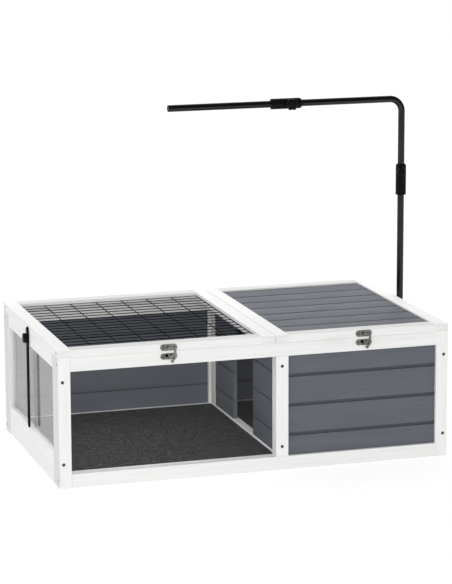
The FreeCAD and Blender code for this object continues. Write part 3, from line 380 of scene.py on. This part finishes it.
def painted_wood(name, paint, sunk_tone, end, axis, groove=None):
    """Satin paint over wood whose grain shows faintly, with ends of one colour.

    Streaks, lines, knots and pores darken it to the sunk tone, and fibres and streaks raise it. Where
    a groove colour is given, the attribute plank moves the grain, so that each board has its own, and
    the attribute groove says where the paint takes that colour: a painted shade in the grooves and on
    the shoulders between boards.
    """
    name = f"{name}_{AXIS_NAMES[axis]}"
    if name in bpy.data.materials:
        return bpy.data.materials[name]
    made, tree = new_material(name)
    shade = tuple(sunk_tone * part for part in paint)
    place = object_place(tree)
    if groove:
        plank = tree.add("Attribute", attribute_name="plank").outputs["Fac"]
        planks = tree.add("CombineXYZ", {X: plank, Y: plank, Z: plank}).outputs[0]
        shift = tree.stretch(planks, *GRAIN_SHIFT)
        place = tree.add("VectorMath", {0: place, 1: shift}, operation="ADD").outputs[0]
    grain = tree.group(wood_grain(), {"Vector": along_grain(tree, place, axis)})
    hands = tree.group(handling(), {"Vector": place})
    pores = tree.span(grain["Fibre"], 0.55, 0.8)
    sunk = tree.total(
        (grain["Streak"], 0.3), (grain["Line"], 0.35), (grain["Knot"], 0.28), (pores, 0.25)
    )
    tone = tree.blend(sunk, solid(paint), solid(shade))
    normal = tree.add("SeparateXYZ", {0: tree.add("NewGeometry").outputs["True Normal"]}).outputs
    on_ends = tree.math("GREATER_THAN", tree.math("POWER", normal[axis], 2.0), 0.5)
    if groove:
        # Painted shade in the grooves and on the shoulders between boards.
        depth = tree.add("Attribute", attribute_name="groove").outputs["Fac"]
        tone = tree.blend(depth, tone, solid(groove))
    tone = tree.blend(on_ends, tone, solid(end))
    raised = tree.total((grain["Fibre"], 0.6), (grain["Streak"], 0.4))
    shader = tree.add("BsdfPrincipled", {
        "Base Color": tone,
        "Roughness": tree.span(hands["Patch"], 0, 1, low=0.45, high=0.53),
        "Normal": bump(tree, raised, 0.07 * MM),
        "Specular IOR Level": 0.25,
    })
    finish_surface(tree, shader.outputs[0])
    return made


def bare_pine(axis):
    """Planed pine with dark late wood, a little rough."""
    name = f"bare_pine_{AXIS_NAMES[axis]}"
    if name in bpy.data.materials:
        return bpy.data.materials[name]
    colours = settings().colours
    made, tree = new_material(name)
    grain = tree.group(wood_grain(), {"Vector": along_grain(tree, object_place(tree), axis)})
    late = tree.total((grain["Streak"], 0.7), (grain["Knot"], 0.8))
    shader = tree.add("BsdfPrincipled", {
        "Base Color": tree.blend(late, solid(colours.pine), solid(colours.pine_shade)),
        "Roughness": tree.span(grain["Fibre"], 0.3, 0.7, low=0.55, high=0.75),
        "Normal": bump(tree, grain["Fibre"], 0.3 * MM),
    })
    finish_surface(tree, shader.outputs[0])
    return made


def granulated_liner():
    """Dark rubber liner pressed from grains, some of them pale, with darker clouds."""
    name = "granulated_liner"
    if name in bpy.data.materials:
        return bpy.data.materials[name]
    colours = settings().colours
    made, tree = new_material(name)
    place = object_place(tree)
    grains = tree.add("TexVoronoi", {"Vector": place, "Scale": 340.0})
    chance = tree.add("SeparateColor", {0: grains.outputs["Color"]}).outputs[0]
    pale = tree.math("MULTIPLY", tree.span(chance, 0.82, 0.9), 0.8)
    cloud = tree.span(tree.noise(place, scale=60.0, detail=4.0), 0.35, 0.7)
    dark = tree.math("MULTIPLY", cloud, 0.5)
    ground = tree.blend(dark, solid(colours.liner), solid(colours.liner_dark))
    shader = tree.add("BsdfPrincipled", {
        "Base Color": tree.blend(pale, ground, solid(colours.liner_speck)),
        "Roughness": tree.span(cloud, 0, 1, low=0.78, high=0.94),
        "Normal": bump(tree, grains.outputs["Distance"], 0.8 * MM),
        "Specular IOR Level": 0.08,
    })
    finish_surface(tree, shader.outputs[0])
    return made


def coat(name, rgb, rough, metallic, peel, gloss):
    """Coated steel or plastic: patches change the roughness, specks the tone, and peel raises it."""
    if name in bpy.data.materials:
        return bpy.data.materials[name]
    made, tree = new_material(name)
    hands = tree.group(handling(), {"Vector": object_place(tree)})
    speck_tone, speck_strength = 0.72, 0.6
    speck = tree.math("MULTIPLY", tree.span(hands["Speck"], 0.4, 0.75), speck_strength)
    shader = tree.add("BsdfPrincipled", {
        "Base Color": tree.blend(speck, solid(rgb), solid(speck_tone * part for part in rgb)),
        "Metallic": metallic,
        "Roughness": tree.span(hands["Patch"], 0, 1, low=rough - 0.07, high=rough + 0.09),
        "Normal": bump(tree, hands["Speck"], peel),
        "Specular IOR Level": gloss,
    })
    finish_surface(tree, shader.outputs[0])
    return made


def black_coat():
    """Black powder coat with a fine orange peel."""
    rgb = settings().colours.black_coat
    return coat("black_coat", rgb, rough=0.24, metallic=0.0, peel=0.04 * MM, gloss=0.5)


def black_wire():
    """Dull black dip coat of the mesh and the stays."""
    rgb = settings().colours.black_coat
    return coat("black_wire", rgb, rough=0.7, metallic=0.0, peel=0.05 * MM, gloss=0.08)


def black_plastic():
    """Moulded black plastic with a fine grain."""
    rgb = settings().colours.black_plastic
    return coat("moulded_plastic", rgb, rough=0.42, metallic=0.0, peel=0.08 * MM, gloss=0.12)


def zinc_plate(name, front=None):
    """Zinc-plated steel with pale and dull grains of plating.

    Where the Y of a front plane is given, the plating from there on backwards is painted near black
    and not metallic: a painted shadow in the keepers' cups.
    """
    if name in bpy.data.materials:
        return bpy.data.materials[name]
    colours = settings().colours
    made, tree = new_material(name)
    place = object_place(tree)
    hands = tree.group(handling(), {"Vector": place})
    cells = tree.add("TexVoronoi", {"Vector": place, "Scale": 430.0})
    spangle = tree.add("SeparateColor", {0: cells.outputs["Color"]}).outputs[0]
    dull = tree.math("MULTIPLY", tree.math("ADD", spangle, hands["Patch"]), 0.5)
    tone = tree.blend(dull, solid(colours.zinc), solid(colours.zinc_dark))
    unshaded = 1.0
    # Painted shadow: behind the front plane the plating turns near black and not metallic.
    if front is not None:
        depth = tree.add("SeparateXYZ", {0: place}).outputs[Y]
        unshaded = tree.span(depth, front, front + 1 * MM, low=1.0, high=0.0)
        tone = tree.blend(unshaded, solid(colours.zinc_cup_painted_shadow), tone)
    shader = tree.add("BsdfPrincipled", {
        "Base Color": tone,
        "Metallic": unshaded,
        "Roughness": tree.span(spangle, 0, 1, low=0.26, high=0.46),
        "Normal": bump(tree, hands["Speck"], 0.04 * MM),
    })
    finish_surface(tree, shader.outputs[0])
    return made


def screw_steel():
    """Darkened steel of the screws, and of the pivots and studs of the stays."""
    rgb = settings().colours.screw
    return coat("screw_steel", rgb, rough=0.5, metallic=0.1, peel=0.03 * MM, gloss=0.2)


def clear_pane():
    """Clear acrylic sheet that lets lamp light through, with faint wiping marks in its gloss.

    Seen straight on it lets light by under a thin veil of gloss, and the more it is seen at a slant,
    the more it is solid glass. What has gone into the sheet as glass also leaves it as glass.
    """
    name = "acrylic_sheet"
    if name in bpy.data.materials:
        return bpy.data.materials[name]
    colours = settings().colours
    made, tree = new_material(name)
    hands = tree.group(handling(), {"Vector": object_place(tree)})
    glass = tree.add("BsdfPrincipled", {
        "Base Color": WHITE,
        "Roughness": tree.span(hands["Patch"], 0, 1, low=0.0, high=0.012),
        "IOR": 1.49,
        "Transmission Weight": 1.0,
    })
    let_by = tree.add("BsdfTransparent", {"Color": WHITE})
    path = tree.add("LightPath").outputs
    facing = tree.add("LayerWeight", {"Blend": 0.5}).outputs["Facing"]
    straight, slanted = 0.3, 0.93
    slant = tree.span(facing, straight, slanted)
    inside = tree.add("NewGeometry").outputs["Backfacing"]
    as_glass = tree.span(inside, 0, 1, low=slant, high=path["Is Transmission Ray"])
    seen = tree.math("SUBTRACT", 1.0, path["Is Shadow Ray"])
    gloss = tree.add("BsdfGlossy", {"Roughness": 0.02})
    veil_share = tree.math("MULTIPLY", seen, colours.pane_veil)
    glass_share = tree.math("MULTIPLY", seen, as_glass)
    veiled = tree.add("MixShader", {0: veil_share, 1: let_by.outputs[0], 2: gloss.outputs[0]})
    mixed = tree.add("MixShader", {0: glass_share, 1: veiled.outputs[0], 2: glass.outputs[0]})
    finish_surface(tree, mixed.outputs[0])
    return made


def dress(node, material):
    """Gives a CAD node one material."""
    slots = NODES[node].data.materials
    slots.clear()
    slots.append(material)


def soften(node, width):
    """Rounds the sharp edges of a CAD node: modifiers weld its split faces, then bevel them."""
    piece = NODES[node]
    weld = piece.modifiers.new("Weld", "WELD")
    weld.merge_threshold = TINY
    edge = piece.modifiers.new("Soft edges", "BEVEL")
    edge.width = width
    edge.segments = 2
    edge.limit_method = "ANGLE"
    edge.angle_limit = math.radians(40)
    edge.harden_normals = True


def corners(node):
    """The vertices of a CAD node as an array."""
    mesh = NODES[node].data
    places = np.empty(3 * len(mesh.vertices))
    mesh.vertices.foreach_get("co", places)
    return places.reshape(-1, 3)


def solids(node):
    """The vertices of each separate solid of a CAD node.

    Vertices at one place share a label. Each triangle hands its lowest label to its corners, and each
    label follows its own label, until nothing changes.
    """
    places = corners(node)
    mesh = NODES[node].data
    mesh.calc_loop_triangles()
    triangles = np.empty(3 * len(mesh.loop_triangles), int)
    mesh.loop_triangles.foreach_get("vertices", triangles)
    _, spot = np.unique(np.round(places / TINY).astype(int), axis=0, return_inverse=True)
    spot = spot.ravel()
    triangles = spot[triangles].reshape(-1, 3)
    label = np.arange(spot.max() + 1)
    while True:
        lower = label.copy()
        lowest = label[triangles].min(axis=1)
        np.minimum.at(lower, triangles, np.repeat(lowest[:, None], 3, axis=1))
        lower = lower[lower]
        if np.array_equal(lower, label):
            break
        label = lower
    owner = label[spot]
    return [places[owner == name] for name in np.unique(owner)]


def longest_axis(points):
    """The axis along which points reach furthest."""
    return int(np.argmax(np.ptp(points, axis=0)))


def add_piece(name, skin, material, node, crease=35.0, **attributes):
    """Makes a mesh object of a skin in place of a node, with edges sharp past the crease, in degrees.

    A skin is an array of points and a list of arrays of faces. Each attribute has a value per point.
    """
    points, blocks = skin
    mesh = bpy.data.meshes.new(name)
    mesh.from_pydata(points.tolist(), [], [face for block in blocks for face in block.tolist()])
    for label, values in attributes.items():
        mesh.attributes.new(label, "FLOAT", "POINT").data.foreach_set("value", values)
    mesh.materials.append(material)
    mesh.shade_smooth()
    mesh.set_sharp_from_angle(angle=math.radians(crease))
    piece = bpy.data.objects.new(name, mesh)
    bpy.context.scene.collection.objects.link(piece)
    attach(piece, NODES[node]["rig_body"])
    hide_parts(node)


def joined(skins):
    """One skin of several: their points in a row, and their faces counted on."""
    starts = np.cumsum([0] + [len(points) for points, _ in skins[:-1]])
    points = np.concatenate([points for points, _ in skins])
    return points, [block + start for (_, blocks), start in zip(skins, starts) for block in blocks]


def swept(rings):
    """Skin of a profile carried along a path.

    rings holds ring, side and coordinate. Quads join each ring to the next, and one face closes each
    end. The profile goes round the path anticlockwise, seen against the path, so that faces point
    outwards.
    """
    count, sides = rings.shape[:2]
    low = np.arange(count - 1)[:, None] * sides
    here = np.arange(sides)
    there = np.roll(here, -1)
    high = low + sides
    quads = np.stack([low + here, low + there, high + there, high + here], axis=-1)
    ends = np.stack([here[::-1], here + (count - 1) * sides])
    return rings.reshape(-1, 3), [quads.reshape(-1, 4), ends]


def axes_about(direction):
    """Two unit vectors square to a direction and its own unit vector, right-handed in that order."""
    along = np.array(direction, float) / np.linalg.norm(direction)
    side = np.cross(along, np.eye(3)[np.argmin(np.abs(along))])
    side /= np.linalg.norm(side)
    return side, np.cross(along, side), along


def round_turn(sides):
    """Angles that share a full turn evenly."""
    return np.linspace(0, FULL_TURN, sides, endpoint=False)


def fade(values, full, none):
    """1 at full, 0 at none, straight between them and held beyond."""
    return np.clip((none - values) / (none - full), 0, 1)


def turned(radius, height, origin, direction):
    """Skin of rings about an axis: each point lies radius from the axis and height along it.

    radius and height are arrays of ring and side, and the sides share a full turn evenly.
    """
    side, across, along = axes_about(direction)
    turn = round_turn(radius.shape[1])
    spokes = np.cos(turn)[:, None] * side + np.sin(turn)[:, None] * across
    return swept(np.array(origin) + radius[..., None] * spokes + height[..., None] * along)


class FramePaint(bpy.types.Operator):
    """Paint the posts, rails and sills white, with the grain along each of them, and with painted
    light and shade in a tone for each way they run
    """

    bl_idname = "tortoise_table.frame_paint"
    bl_label = "Frame Paint"

    def execute(self, context):
        colours = settings().colours
        for node in [name for name, slot in SLOTS.items() if slot == "white_wood"]:
            axis = longest_axis(solids(node)[0])
            # Painted light and shade: each way a piece runs takes its own tone of the one white paint.
            paint = (colours.white_rail_painted_shade, colours.white_side_painted_light, colours.white_post)[axis]
            sunk, end = colours.white_sunk, colours.white_end
            dress(node, painted_wood("white_paint", paint, sunk, end, axis))
        return {"FINISHED"}


def quarter(stack, thin, radius, start):
    """A quarter circle of outline points about a centre, anticlockwise from an angle."""
    turn = start + np.linspace(0, QUARTER_TURN, QUARTER_STEPS)
    return np.stack([stack + radius * np.cos(turn), thin + radius * np.sin(turn)], axis=-1)


def board_skin(points, stack, thin, run, radius):
    """Skin of one tongued board, and how deep each of its points lies in a groove, from 0 to 1.

    stack is the axis from board to board, thin the one through a board and run the one along it. The
    outline has quarter-round shoulders, a tongue on its upper edge and a slot in its lower edge where
    the CAD board has them, and is carried straight along the run.
    """
    low, high = points.min(axis=0), points.max(axis=0)
    middle, half = (low[thin] + high[thin]) / 2, (high[thin] - low[thin]) / 2
    on_face = np.abs(points[:, thin] - middle) > half - TINY
    bottom, top = points[on_face, stack].min(), points[on_face, stack].max()
    inner = points[~on_face]
    tongue = inner[inner[:, stack] > top + TINY]
    slot = inner[(inner[:, stack] > bottom + TINY) & (inner[:, stack] < top - TINY)]
    outline = [quarter(bottom + radius, radius - half, radius, 2 * QUARTER_TURN)]
    outline.append(quarter(top - radius, radius - half, radius, 3 * QUARTER_TURN))
    if len(tongue):
        reach, wide = tongue[:, stack].max(), np.abs(tongue[:, thin] - middle).max()
        outline.append([(top, -wide), (reach, -wide), (reach, wide), (top, wide)])
    outline.append(quarter(top - radius, half - radius, radius, 0))
    outline.append(quarter(bottom + radius, half - radius, radius, QUARTER_TURN))
    if len(slot):
        reach, wide = slot[:, stack].max(), np.abs(slot[:, thin] - middle).max()
        outline.append([(bottom, wide), (reach, wide), (reach, -wide), (bottom, -wide)])
    outline = np.concatenate(outline)
    if np.linalg.det(np.eye(3)[[stack, thin, run]]) < 0:
        outline = outline[::-1]
    rings = np.empty((2, len(outline), 3))
    rings[..., stack] = outline[:, 0]
    rings[..., thin] = outline[:, 1] + middle
    rings[..., run] = np.array([low[run], high[run]])[:, None]
    depth = np.clip((half - np.abs(rings[..., thin] - middle)) / radius, 0, 1)
    return swept(rings), depth.ravel()


class Boards(bpy.types.Operator):
    """Lay the tongued wall and roof boards, each with rounded shoulders, its own grain and painted
    shade in the grooves between them
    """

    bl_idname = "tortoise_table.boards"
    bl_label = "Boards"

    def execute(self, context):
        colours, shapes = settings().colours, settings().shapes
        for node in [name for name, slot in SLOTS.items() if slot == "grey_boards"]:
            boards = solids(node)
            thin = int(np.argmin(np.ptp(boards[0], axis=0)))
            stack = Y if thin == Z else Z
            run = X + Y + Z - thin - stack
            boards.sort(key=lambda points: (points[:, stack].min(), points[:, run].min()))
            on_roof = node == "roof_boards"
            radius = shapes.roof_round if on_roof else shapes.board_round
            laid = [board_skin(points, stack, thin, run, radius) for points in boards]
            skins = [skin for skin, _ in laid]
            counts = [len(points) for points, _ in skins]
            planks = np.repeat(np.arange(len(skins), dtype=float), counts)
            at_front = node == "front_boards"
            # Painted light and shade: the front boards take a darker copy of the grey paint.
            tone = colours.grey_front_painted_shade if at_front else colours.grey_paint
            label = "front_paint" if at_front else "grey_paint"
            # The groove colour is a painted shade between the boards.
            paint = painted_wood(label, tone, colours.grey_sunk, tone, run, colours.groove_painted_shade)
            depths = np.concatenate([depth for _, depth in laid])
            add_piece(node + "_shaped", joined(skins), paint, node, plank=planks, groove=depths)
        return {"FINISHED"}


class Panes(bpy.types.Operator):
    """Make the front and side windows clear"""

    bl_idname = "tortoise_table.panes"
    bl_label = "Panes"

    def execute(self, context):
        for node in [name for name, slot in SLOTS.items() if slot == "clear_pane"]:
            dress(node, clear_pane())
        return {"FINISHED"}


def liner_skin(points, roll, wave):
    """Skin of a liner sheet: a grid whose height is the top less a rolled edge, plus slow waves.

    The waves are a sine across, bent by a sine along, times a sine along, and they fade out at the
    border. The outermost rows and columns of the grid stand straight below the next ones, on the
    floor, and one face closes the underside.
    """
    cell, border, edge_steps = 12 * MM, 40 * MM, 5
    waves_across, waves_along, start_along = 23, 19, 0.7
    bend, bends_along = 1.3, 17
    low, high = points.min(axis=0), points.max(axis=0)
    edge = roll * (1 - np.cos(np.linspace(0, 1, edge_steps) * QUARTER_TURN))

    def stations(start, end):
        inside = np.linspace(start + roll, end - roll, int((end - start) / cell))
        first, last = start + edge[:-1], (end - edge[:-1])[::-1]
        return np.concatenate([[start], first, inside, last, [end]])

    across, along = stations(low[X], high[X]), stations(low[Y], high[Y])
    x, y = np.meshgrid(across, along, indexing="ij")
    depth = np.min([x - low[X], high[X] - x, y - low[Y], high[Y] - y], axis=0)
    fall = np.clip(roll - depth, 0, roll)
    z = high[Z] - wave - (roll - np.sqrt(np.maximum(roll**2 - fall**2, 0)))
    bent = bend * np.sin(y * bends_along)
    swell = np.sin(x * waves_across + bent) * np.sin(y * waves_along + start_along)
    z += wave * swell * fade(depth, full=border, none=0)
    z[[0, -1], :] = low[Z]
    z[:, [0, -1]] = low[Z]
    rows, columns = x.shape
    index = np.arange(rows * columns).reshape(rows, columns)
    quads = np.stack([index[:-1, :-1], index[1:, :-1], index[1:, 1:], index[:-1, 1:]], axis=-1)
    rim = np.concatenate([index[0, :-1], index[:-1, -1], index[-1, :0:-1], index[:0:-1, 0]])
    return np.stack([x, y, z], axis=-1).reshape(-1, 3), [quads.reshape(-1, 4), rim[None, :]]


class Floor(bpy.types.Operator):
    """Lay the granulated liners over bare pine panels and battens"""

    bl_idname = "tortoise_table.floor"
    bl_label = "Floor"

    def execute(self, context):
        shapes = settings().shapes
        for node in [name for name, slot in SLOTS.items() if slot == "floor_wood"]:
            dress(node, bare_pine(longest_axis(solids(node)[0])))
        sheets = solids("floor_liners")
        skins = [liner_skin(points, shapes.liner_roll, shapes.liner_wave) for points in sheets]
        add_piece("floor_liners_laid", joined(skins), granulated_liner(), "floor_liners")
        return {"FINISHED"}


def rods(starts, ends, radius, sides):
    """Skins of straight round rods: circles about each line from a start to an end."""
    turn = round_turn(sides)
    side, across, _ = axes_about(ends[0] - starts[0])
    circle = radius * (np.cos(turn)[:, None] * side + np.sin(turn)[:, None] * across)
    return [swept(np.stack([start + circle, end + circle])) for start, end in zip(starts, ends)]


def wire_lines(points, axis):
    """Middles of the wires on one axis, and their radius.

    The sorted coordinates are the two sides of each wire in turn.
    """
    sides = np.unique(np.round(points[:, axis] / TINY)) * TINY
    return sides.reshape(-1, 2).mean(axis=1), np.diff(sides[:2])[0] / 2


class WireMesh(bpy.types.Operator):
    """Weld the lid's mesh from round wires, one layer pressed onto the other"""

    bl_idname = "tortoise_table.wire_mesh"
    bl_label = "Wire Mesh"

    def execute(self, context):
        shapes = settings().shapes
        points = corners("wire_mesh")
        low, high = points.min(axis=0), points.max(axis=0)
        middle = (low[Z] + high[Z]) / 2
        skins = []
        for run, place, layer in ((Y, X, -1), (X, Y, 1)):
            lines, radius = wire_lines(points, place)
            starts = np.empty((len(lines), 3))
            starts[:, place] = lines
            starts[:, Z] = middle + layer * shapes.wire_press
            starts[:, run] = low[run]
            ends = starts.copy()
            ends[:, run] = high[run]
            skins += rods(starts, ends, radius, shapes.wire_sides)
        add_piece("wire_mesh_welded", joined(skins), black_wire(), "wire_mesh", crease=60)
        return {"FINISHED"}


def screw_skin(points, recess, turn):
    """Skin of one screw, turned about its axis.

    A tapered tip and a shank lead to the head, whose top is a low dome less a cross. The cross is deep
    where the smaller of the two coordinates across the head is small, and ends before the head's rim.
    """
    axis = longest_axis(points)
    low, high = points.min(axis=0), points.max(axis=0)
    middle = (low + high) / 2
    spread = points - middle
    reach = np.sqrt((spread**2).sum(axis=1) - spread[:, axis] ** 2)
    wide = reach.max()
    near_rim, within_rim = 0.98 * wide, 0.8 * wide
    on_rim = points[reach > near_rim, axis]
    way = 1.0 if on_rim.mean() > middle[axis] else -1.0
    head, whole = np.ptp(on_rim), high[axis] - low[axis]
    shank = reach[reach < within_rim].max()
    origin = middle - way * whole / 2 * np.eye(3)[axis]
    base = whole - head
    sides, dome = 32, 0.22 * head
    shaft = [(0.1 * shank, 0), (shank, 3 * shank), (shank, base)]
    rim = [(0.94 * wide, base), (wide, base + 0.12 * head), (wide, base + 0.5 * head)]
    rim.append((0.97 * wide, base + 0.68 * head))
    share = np.array([0.9, 0.75, 0.62, 0.5, 0.38, 0.26, 0.14, 0.03])
    top = np.stack([share * wide, whole - dome * share**2], axis=-1)
    radius, height = np.repeat(np.concatenate([shaft, rim, top]).T[..., None], sides, axis=2)
    spoke = round_turn(sides) + turn
    one = np.abs(radius * np.cos(spoke)) / wide
    two = np.abs(radius * np.sin(spoke)) / wide
    narrow = fade(np.minimum(one, two), full=0.09, none=0.17)
    short = fade(np.maximum(one, two), full=0.5, none=0.6)
    on_top = len(shaft) + len(rim)
    height[on_top:] -= recess * head * (narrow * short)[on_top:]
    return turned(radius, height, origin, way * np.eye(3)[axis])


class Screws(bpy.types.Operator):
    """Drive in the screws, each with a cross recess turned its own way"""

    bl_idname = "tortoise_table.screws"
    bl_label = "Screws"

    def execute(self, context):
        recess = settings().shapes.screw_recess
        for node in SCREW_NODES:
            screws = enumerate(solids(node))
            skins = [screw_skin(points, recess, place * GOLDEN_TURN) for place, points in screws]
            add_piece(node + "_driven", joined(skins), screw_steel(), node, crease=50)
        return {"FINISHED"}


class Fittings(bpy.types.Operator):
    """Plate the hinges and latches with zinc, and darken the steel of the stays' pivots and studs"""

    bl_idname = "tortoise_table.fittings"
    bl_label = "Hinges and Latches"

    def execute(self, context):
        front = corners("front_top_rail")[:, Y].min()
        finishes = {node: screw_steel() for node in STAY_STEEL_NODES}
        # The keepers' cups get a painted shadow behind the rail's front.
        finishes["latch_keepers"] = zinc_plate("keeper_plate", front)
        plate = zinc_plate("zinc_plate")
        for node, slot in SLOTS.items():
            if slot == "zinc_steel" and node not in SCREW_NODES:
                dress(node, finishes.get(node, plate))
                soften(node, settings().shapes.zinc_edge)
        return {"FINISHED"}


class LampHolder(bpy.types.Operator):
    """Coat the lamp holder's tubes and clips and the lid stays black, and mould its collars and cap"""

    bl_idname = "tortoise_table.lamp_holder"
    bl_label = "Lamp Holder and Stays"

    def execute(self, context):
        for node, slot in SLOTS.items():
            if slot == "black_steel" and node != "wire_mesh":
                dress(node, black_wire() if "stay" in node else black_coat())
            if slot == "black_plastic":
                dress(node, black_plastic())
        return {"FINISHED"}


def knob_skin(node, joint, flutes, depth):
    """Skin of a fluted knob about its joint's axis.

    A stem leads to a grip whose edges are quarter circles and whose face is a low dome. The radius is
    less by the flute depth times a power of a raised cosine, which has as many waves round the axis as
    there are flutes, and one flute lies at the top.
    """
    axis = np.array(JOINTS[joint]["axis"], float)
    axis /= np.linalg.norm(axis)
    spread = corners(node) - np.array(JOINTS[joint]["pos_m"])
    along = spread @ axis
    reach = np.linalg.norm(spread - along[:, None] * axis, axis=1)
    wide = reach.max()
    near_rim = 0.9 * wide
    grip = along[reach > near_rim]
    if abs(along.min() - grip.min()) < abs(along.max() - grip.max()):
        axis, along, grip = -axis, -along, -grip
    stem = reach[along < grip.min() - TINY].max()
    tip, back, face = along.min(), grip.min(), along.max()
    thick = face - back
    ease, dome = 0.36 * thick, 0.08 * thick
    rim = wide - ease
    turn = np.linspace(0, QUARTER_TURN, QUARTER_STEPS)
    share = np.array([0.8, 0.6, 0.4, 0.2, 0.02])
    shaft = [(0.85 * stem, tip), (stem, tip + 0.15 * stem), (stem, back)]
    lower = np.stack([rim + ease * np.sin(turn), back + ease * (1 - np.cos(turn))], axis=-1)
    upper = np.stack([rim + ease * np.cos(turn), face - dome - ease * (1 - np.sin(turn))], axis=-1)
    top = np.stack([rim * share, face - dome * share**2], axis=-1)
    radius, height = np.concatenate([shaft, lower, upper, top]).T
    fluted = fade(radius / wide, full=0.85, none=0.45)
    sides = 16 * flutes
    side, across, _ = axes_about(axis)
    upwards = math.atan2(across[Z], side[Z])
    hollow = depth * (0.5 + 0.5 * np.cos(flutes * (round_turn(sides) - upwards))) ** 1.5
    radius = radius[:, None] - fluted[:, None] * hollow
    height = np.repeat(height[:, None], sides, axis=1)
    return turned(radius, height, JOINTS[joint]["pos_m"], axis)


class Knobs(bpy.types.Operator):
    """Mould the fluted knobs of the stays and the lamp holder"""

    bl_idname = "tortoise_table.knobs"
    bl_label = "Knobs"

    def execute(self, context):
        shapes = settings().shapes
        for node in KNOB_NODES:
            skin = knob_skin(node, node + "_turn", shapes.knob_flutes, shapes.flute_depth)
            add_piece(node + "_moulded", skin, black_plastic(), node, crease=50)
        return {"FINISHED"}


def studio_world(stage):
    """World that lights evenly, and shows white to the camera and through the panes.

    Reflections see the white backdrop behind the table, and a dark room above and in front of it.
    """
    world = bpy.data.worlds.new("Studio")
    world.use_nodes = True
    world.node_tree.nodes.clear()
    tree = Tree(world.node_tree)
    path = tree.add("LightPath").outputs
    seen = tree.math("MAXIMUM", path["Is Camera Ray"], path["Is Transmission Ray"])
    way = tree.add("SeparateXYZ", {0: tree.add("TexCoord").outputs["Generated"]}).outputs
    backdrop = tree.span(way[Y], start=-0.1, end=0.7, low=0.02, high=1.0)

    def background(strength):
        return tree.add("Background", {"Color": WHITE, "Strength": strength}).outputs[0]

    glossy = tree.add("MixShader", {
        0: path["Is Glossy Ray"], 1: background(stage.sky), 2: background(backdrop),
    })
    white = background(1.0)
    mixed = tree.add("MixShader", {0: seen, 1: glossy.outputs[0], 2: white})
    tree.links.new(mixed.outputs[0], tree.add("OutputWorld").inputs["Surface"])
    bpy.context.scene.world = world


def floor_material(stage):
    """White floor: most of its white is its own, and the rest is lit, so that shadows show.

    Its own white grows from the table outwards.
    """
    made, tree = new_material("studio_floor")
    lit = tree.add("BsdfDiffuse", {"Color": solid((stage.floor_lit,) * 3)})
    seen = tree.add("LightPath").outputs["Is Camera Ray"]
    away = tree.add("VectorMath", {0: object_place(tree)}, operation="LENGTH").outputs["Value"]
    near, far = 0.8, 3.5
    own = tree.span(away, near, far, low=stage.floor_own, high=stage.floor_far)
    strength = tree.span(seen, 0, 1, low=stage.floor_glow, high=own)
    glow = tree.add("Emission", {"Color": WHITE, "Strength": strength})
    finish_surface(tree, tree.add("AddShader", {0: lit.outputs[0], 1: glow.outputs[0]}).outputs[0])
    return made


def area_lamp(name, place, aim, sides, power):
    """A large soft lamp, as wide and as high as its two sides say, that points at the aim."""
    lamp = bpy.data.lights.new(name, "AREA")
    lamp.shape = "RECTANGLE"
    lamp.size, lamp.size_y = sides
    lamp.energy = power
    holder = bpy.data.objects.new(name, lamp)
    holder.location = place
    holder.rotation_euler = (Vector(aim) - Vector(place)).to_track_quat("-Z", "Y").to_euler()
    holder.visible_camera = False
    holder.visible_glossy = False
    bpy.context.scene.collection.objects.link(holder)


class Stage(bpy.types.Operator):
    """Set the camera, the pale floor and the soft studio light"""

    bl_idname = "tortoise_table.stage"
    bl_label = "Stage"

    def execute(self, context):
        stage = settings().stage
        scene = bpy.context.scene
        scene.view_settings.view_transform = "Standard"
        back = Vector((
            math.sin(stage.azimuth) * math.cos(stage.elevation),
            -math.cos(stage.azimuth) * math.cos(stage.elevation),
            math.sin(stage.elevation),
        ))
        camera = bpy.data.objects.new("Camera", bpy.data.cameras.new("Camera"))
        camera.data.lens = stage.lens
        camera.data.clip_end = 100
        camera.location = Vector(stage.aim) + back * stage.distance
        turn = (-back).to_track_quat("-Z", "Y").to_matrix() @ Matrix.Rotation(stage.roll, 3, "Z")
        camera.rotation_euler = turn.to_euler()
        scene.collection.objects.link(camera)
        scene.camera = camera
        half = stage.floor_size / 2
        mesh = bpy.data.meshes.new("studio_floor")
        ground = [(-half, -half, 0), (half, -half, 0), (half, half, 0), (-half, half, 0)]
        mesh.from_pydata(ground, [], [range(len(ground))])
        mesh.materials.append(floor_material(stage))
        floor = bpy.data.objects.new("studio_floor", mesh)
        scene.collection.objects.link(floor)
        studio_world(stage)
        area_lamp("Top lamp", stage.top_place, stage.aim, stage.top_sides, stage.top_power)
        area_lamp("Key lamp", stage.key_place, stage.aim, stage.key_sides, stage.key_power)
        area_lamp("Fill lamp", stage.fill_place, stage.aim, stage.fill_sides, stage.fill_power)
        return {"FINISHED"}


OPERATORS = (FramePaint, Boards, Panes, Floor, WireMesh, Screws, Fittings, LampHolder, Knobs, Stage)


class TablePanel(bpy.types.Panel):
    """Lists the table's settings and pieces"""

    bl_idname = "VIEW3D_PT_tortoise_table"
    bl_label = "Tortoise Table"
    bl_space_type = "VIEW_3D"
    bl_region_type = "UI"
    bl_category = "Tortoise Table"

    def draw(self, context):
        for group in (settings().colours, settings().shapes, settings().stage):
            box = self.layout.box()
            for name in group.__annotations__:
                box.prop(group, name)
        for operator in OPERATORS:
            self.layout.operator(operator.bl_idname)


CLASSES = (TableColours, TableShapes, TableStage, TableSettings, *OPERATORS, TablePanel)


def register():
    """Adds the classes to Blender, and the settings to each scene."""
    for item in CLASSES:
        bpy.utils.register_class(item)
    bpy.types.Scene.tortoise_table = PointerProperty(type=TableSettings)


def unregister():
    """Takes away what register added."""
    del bpy.types.Scene.tortoise_table
    for item in reversed(CLASSES):
        bpy.utils.unregister_class(item)


def main():
    """Builds the pieces and the stage."""
    register()
    table = bpy.ops.tortoise_table
    table.frame_paint()
    table.boards()
    table.panes()
    table.floor()
    table.wire_mesh()
    table.screws()
    table.fittings()
    table.lamp_holder()
    table.knobs()
    table.stage()


if __name__ == "__main__":
    main()
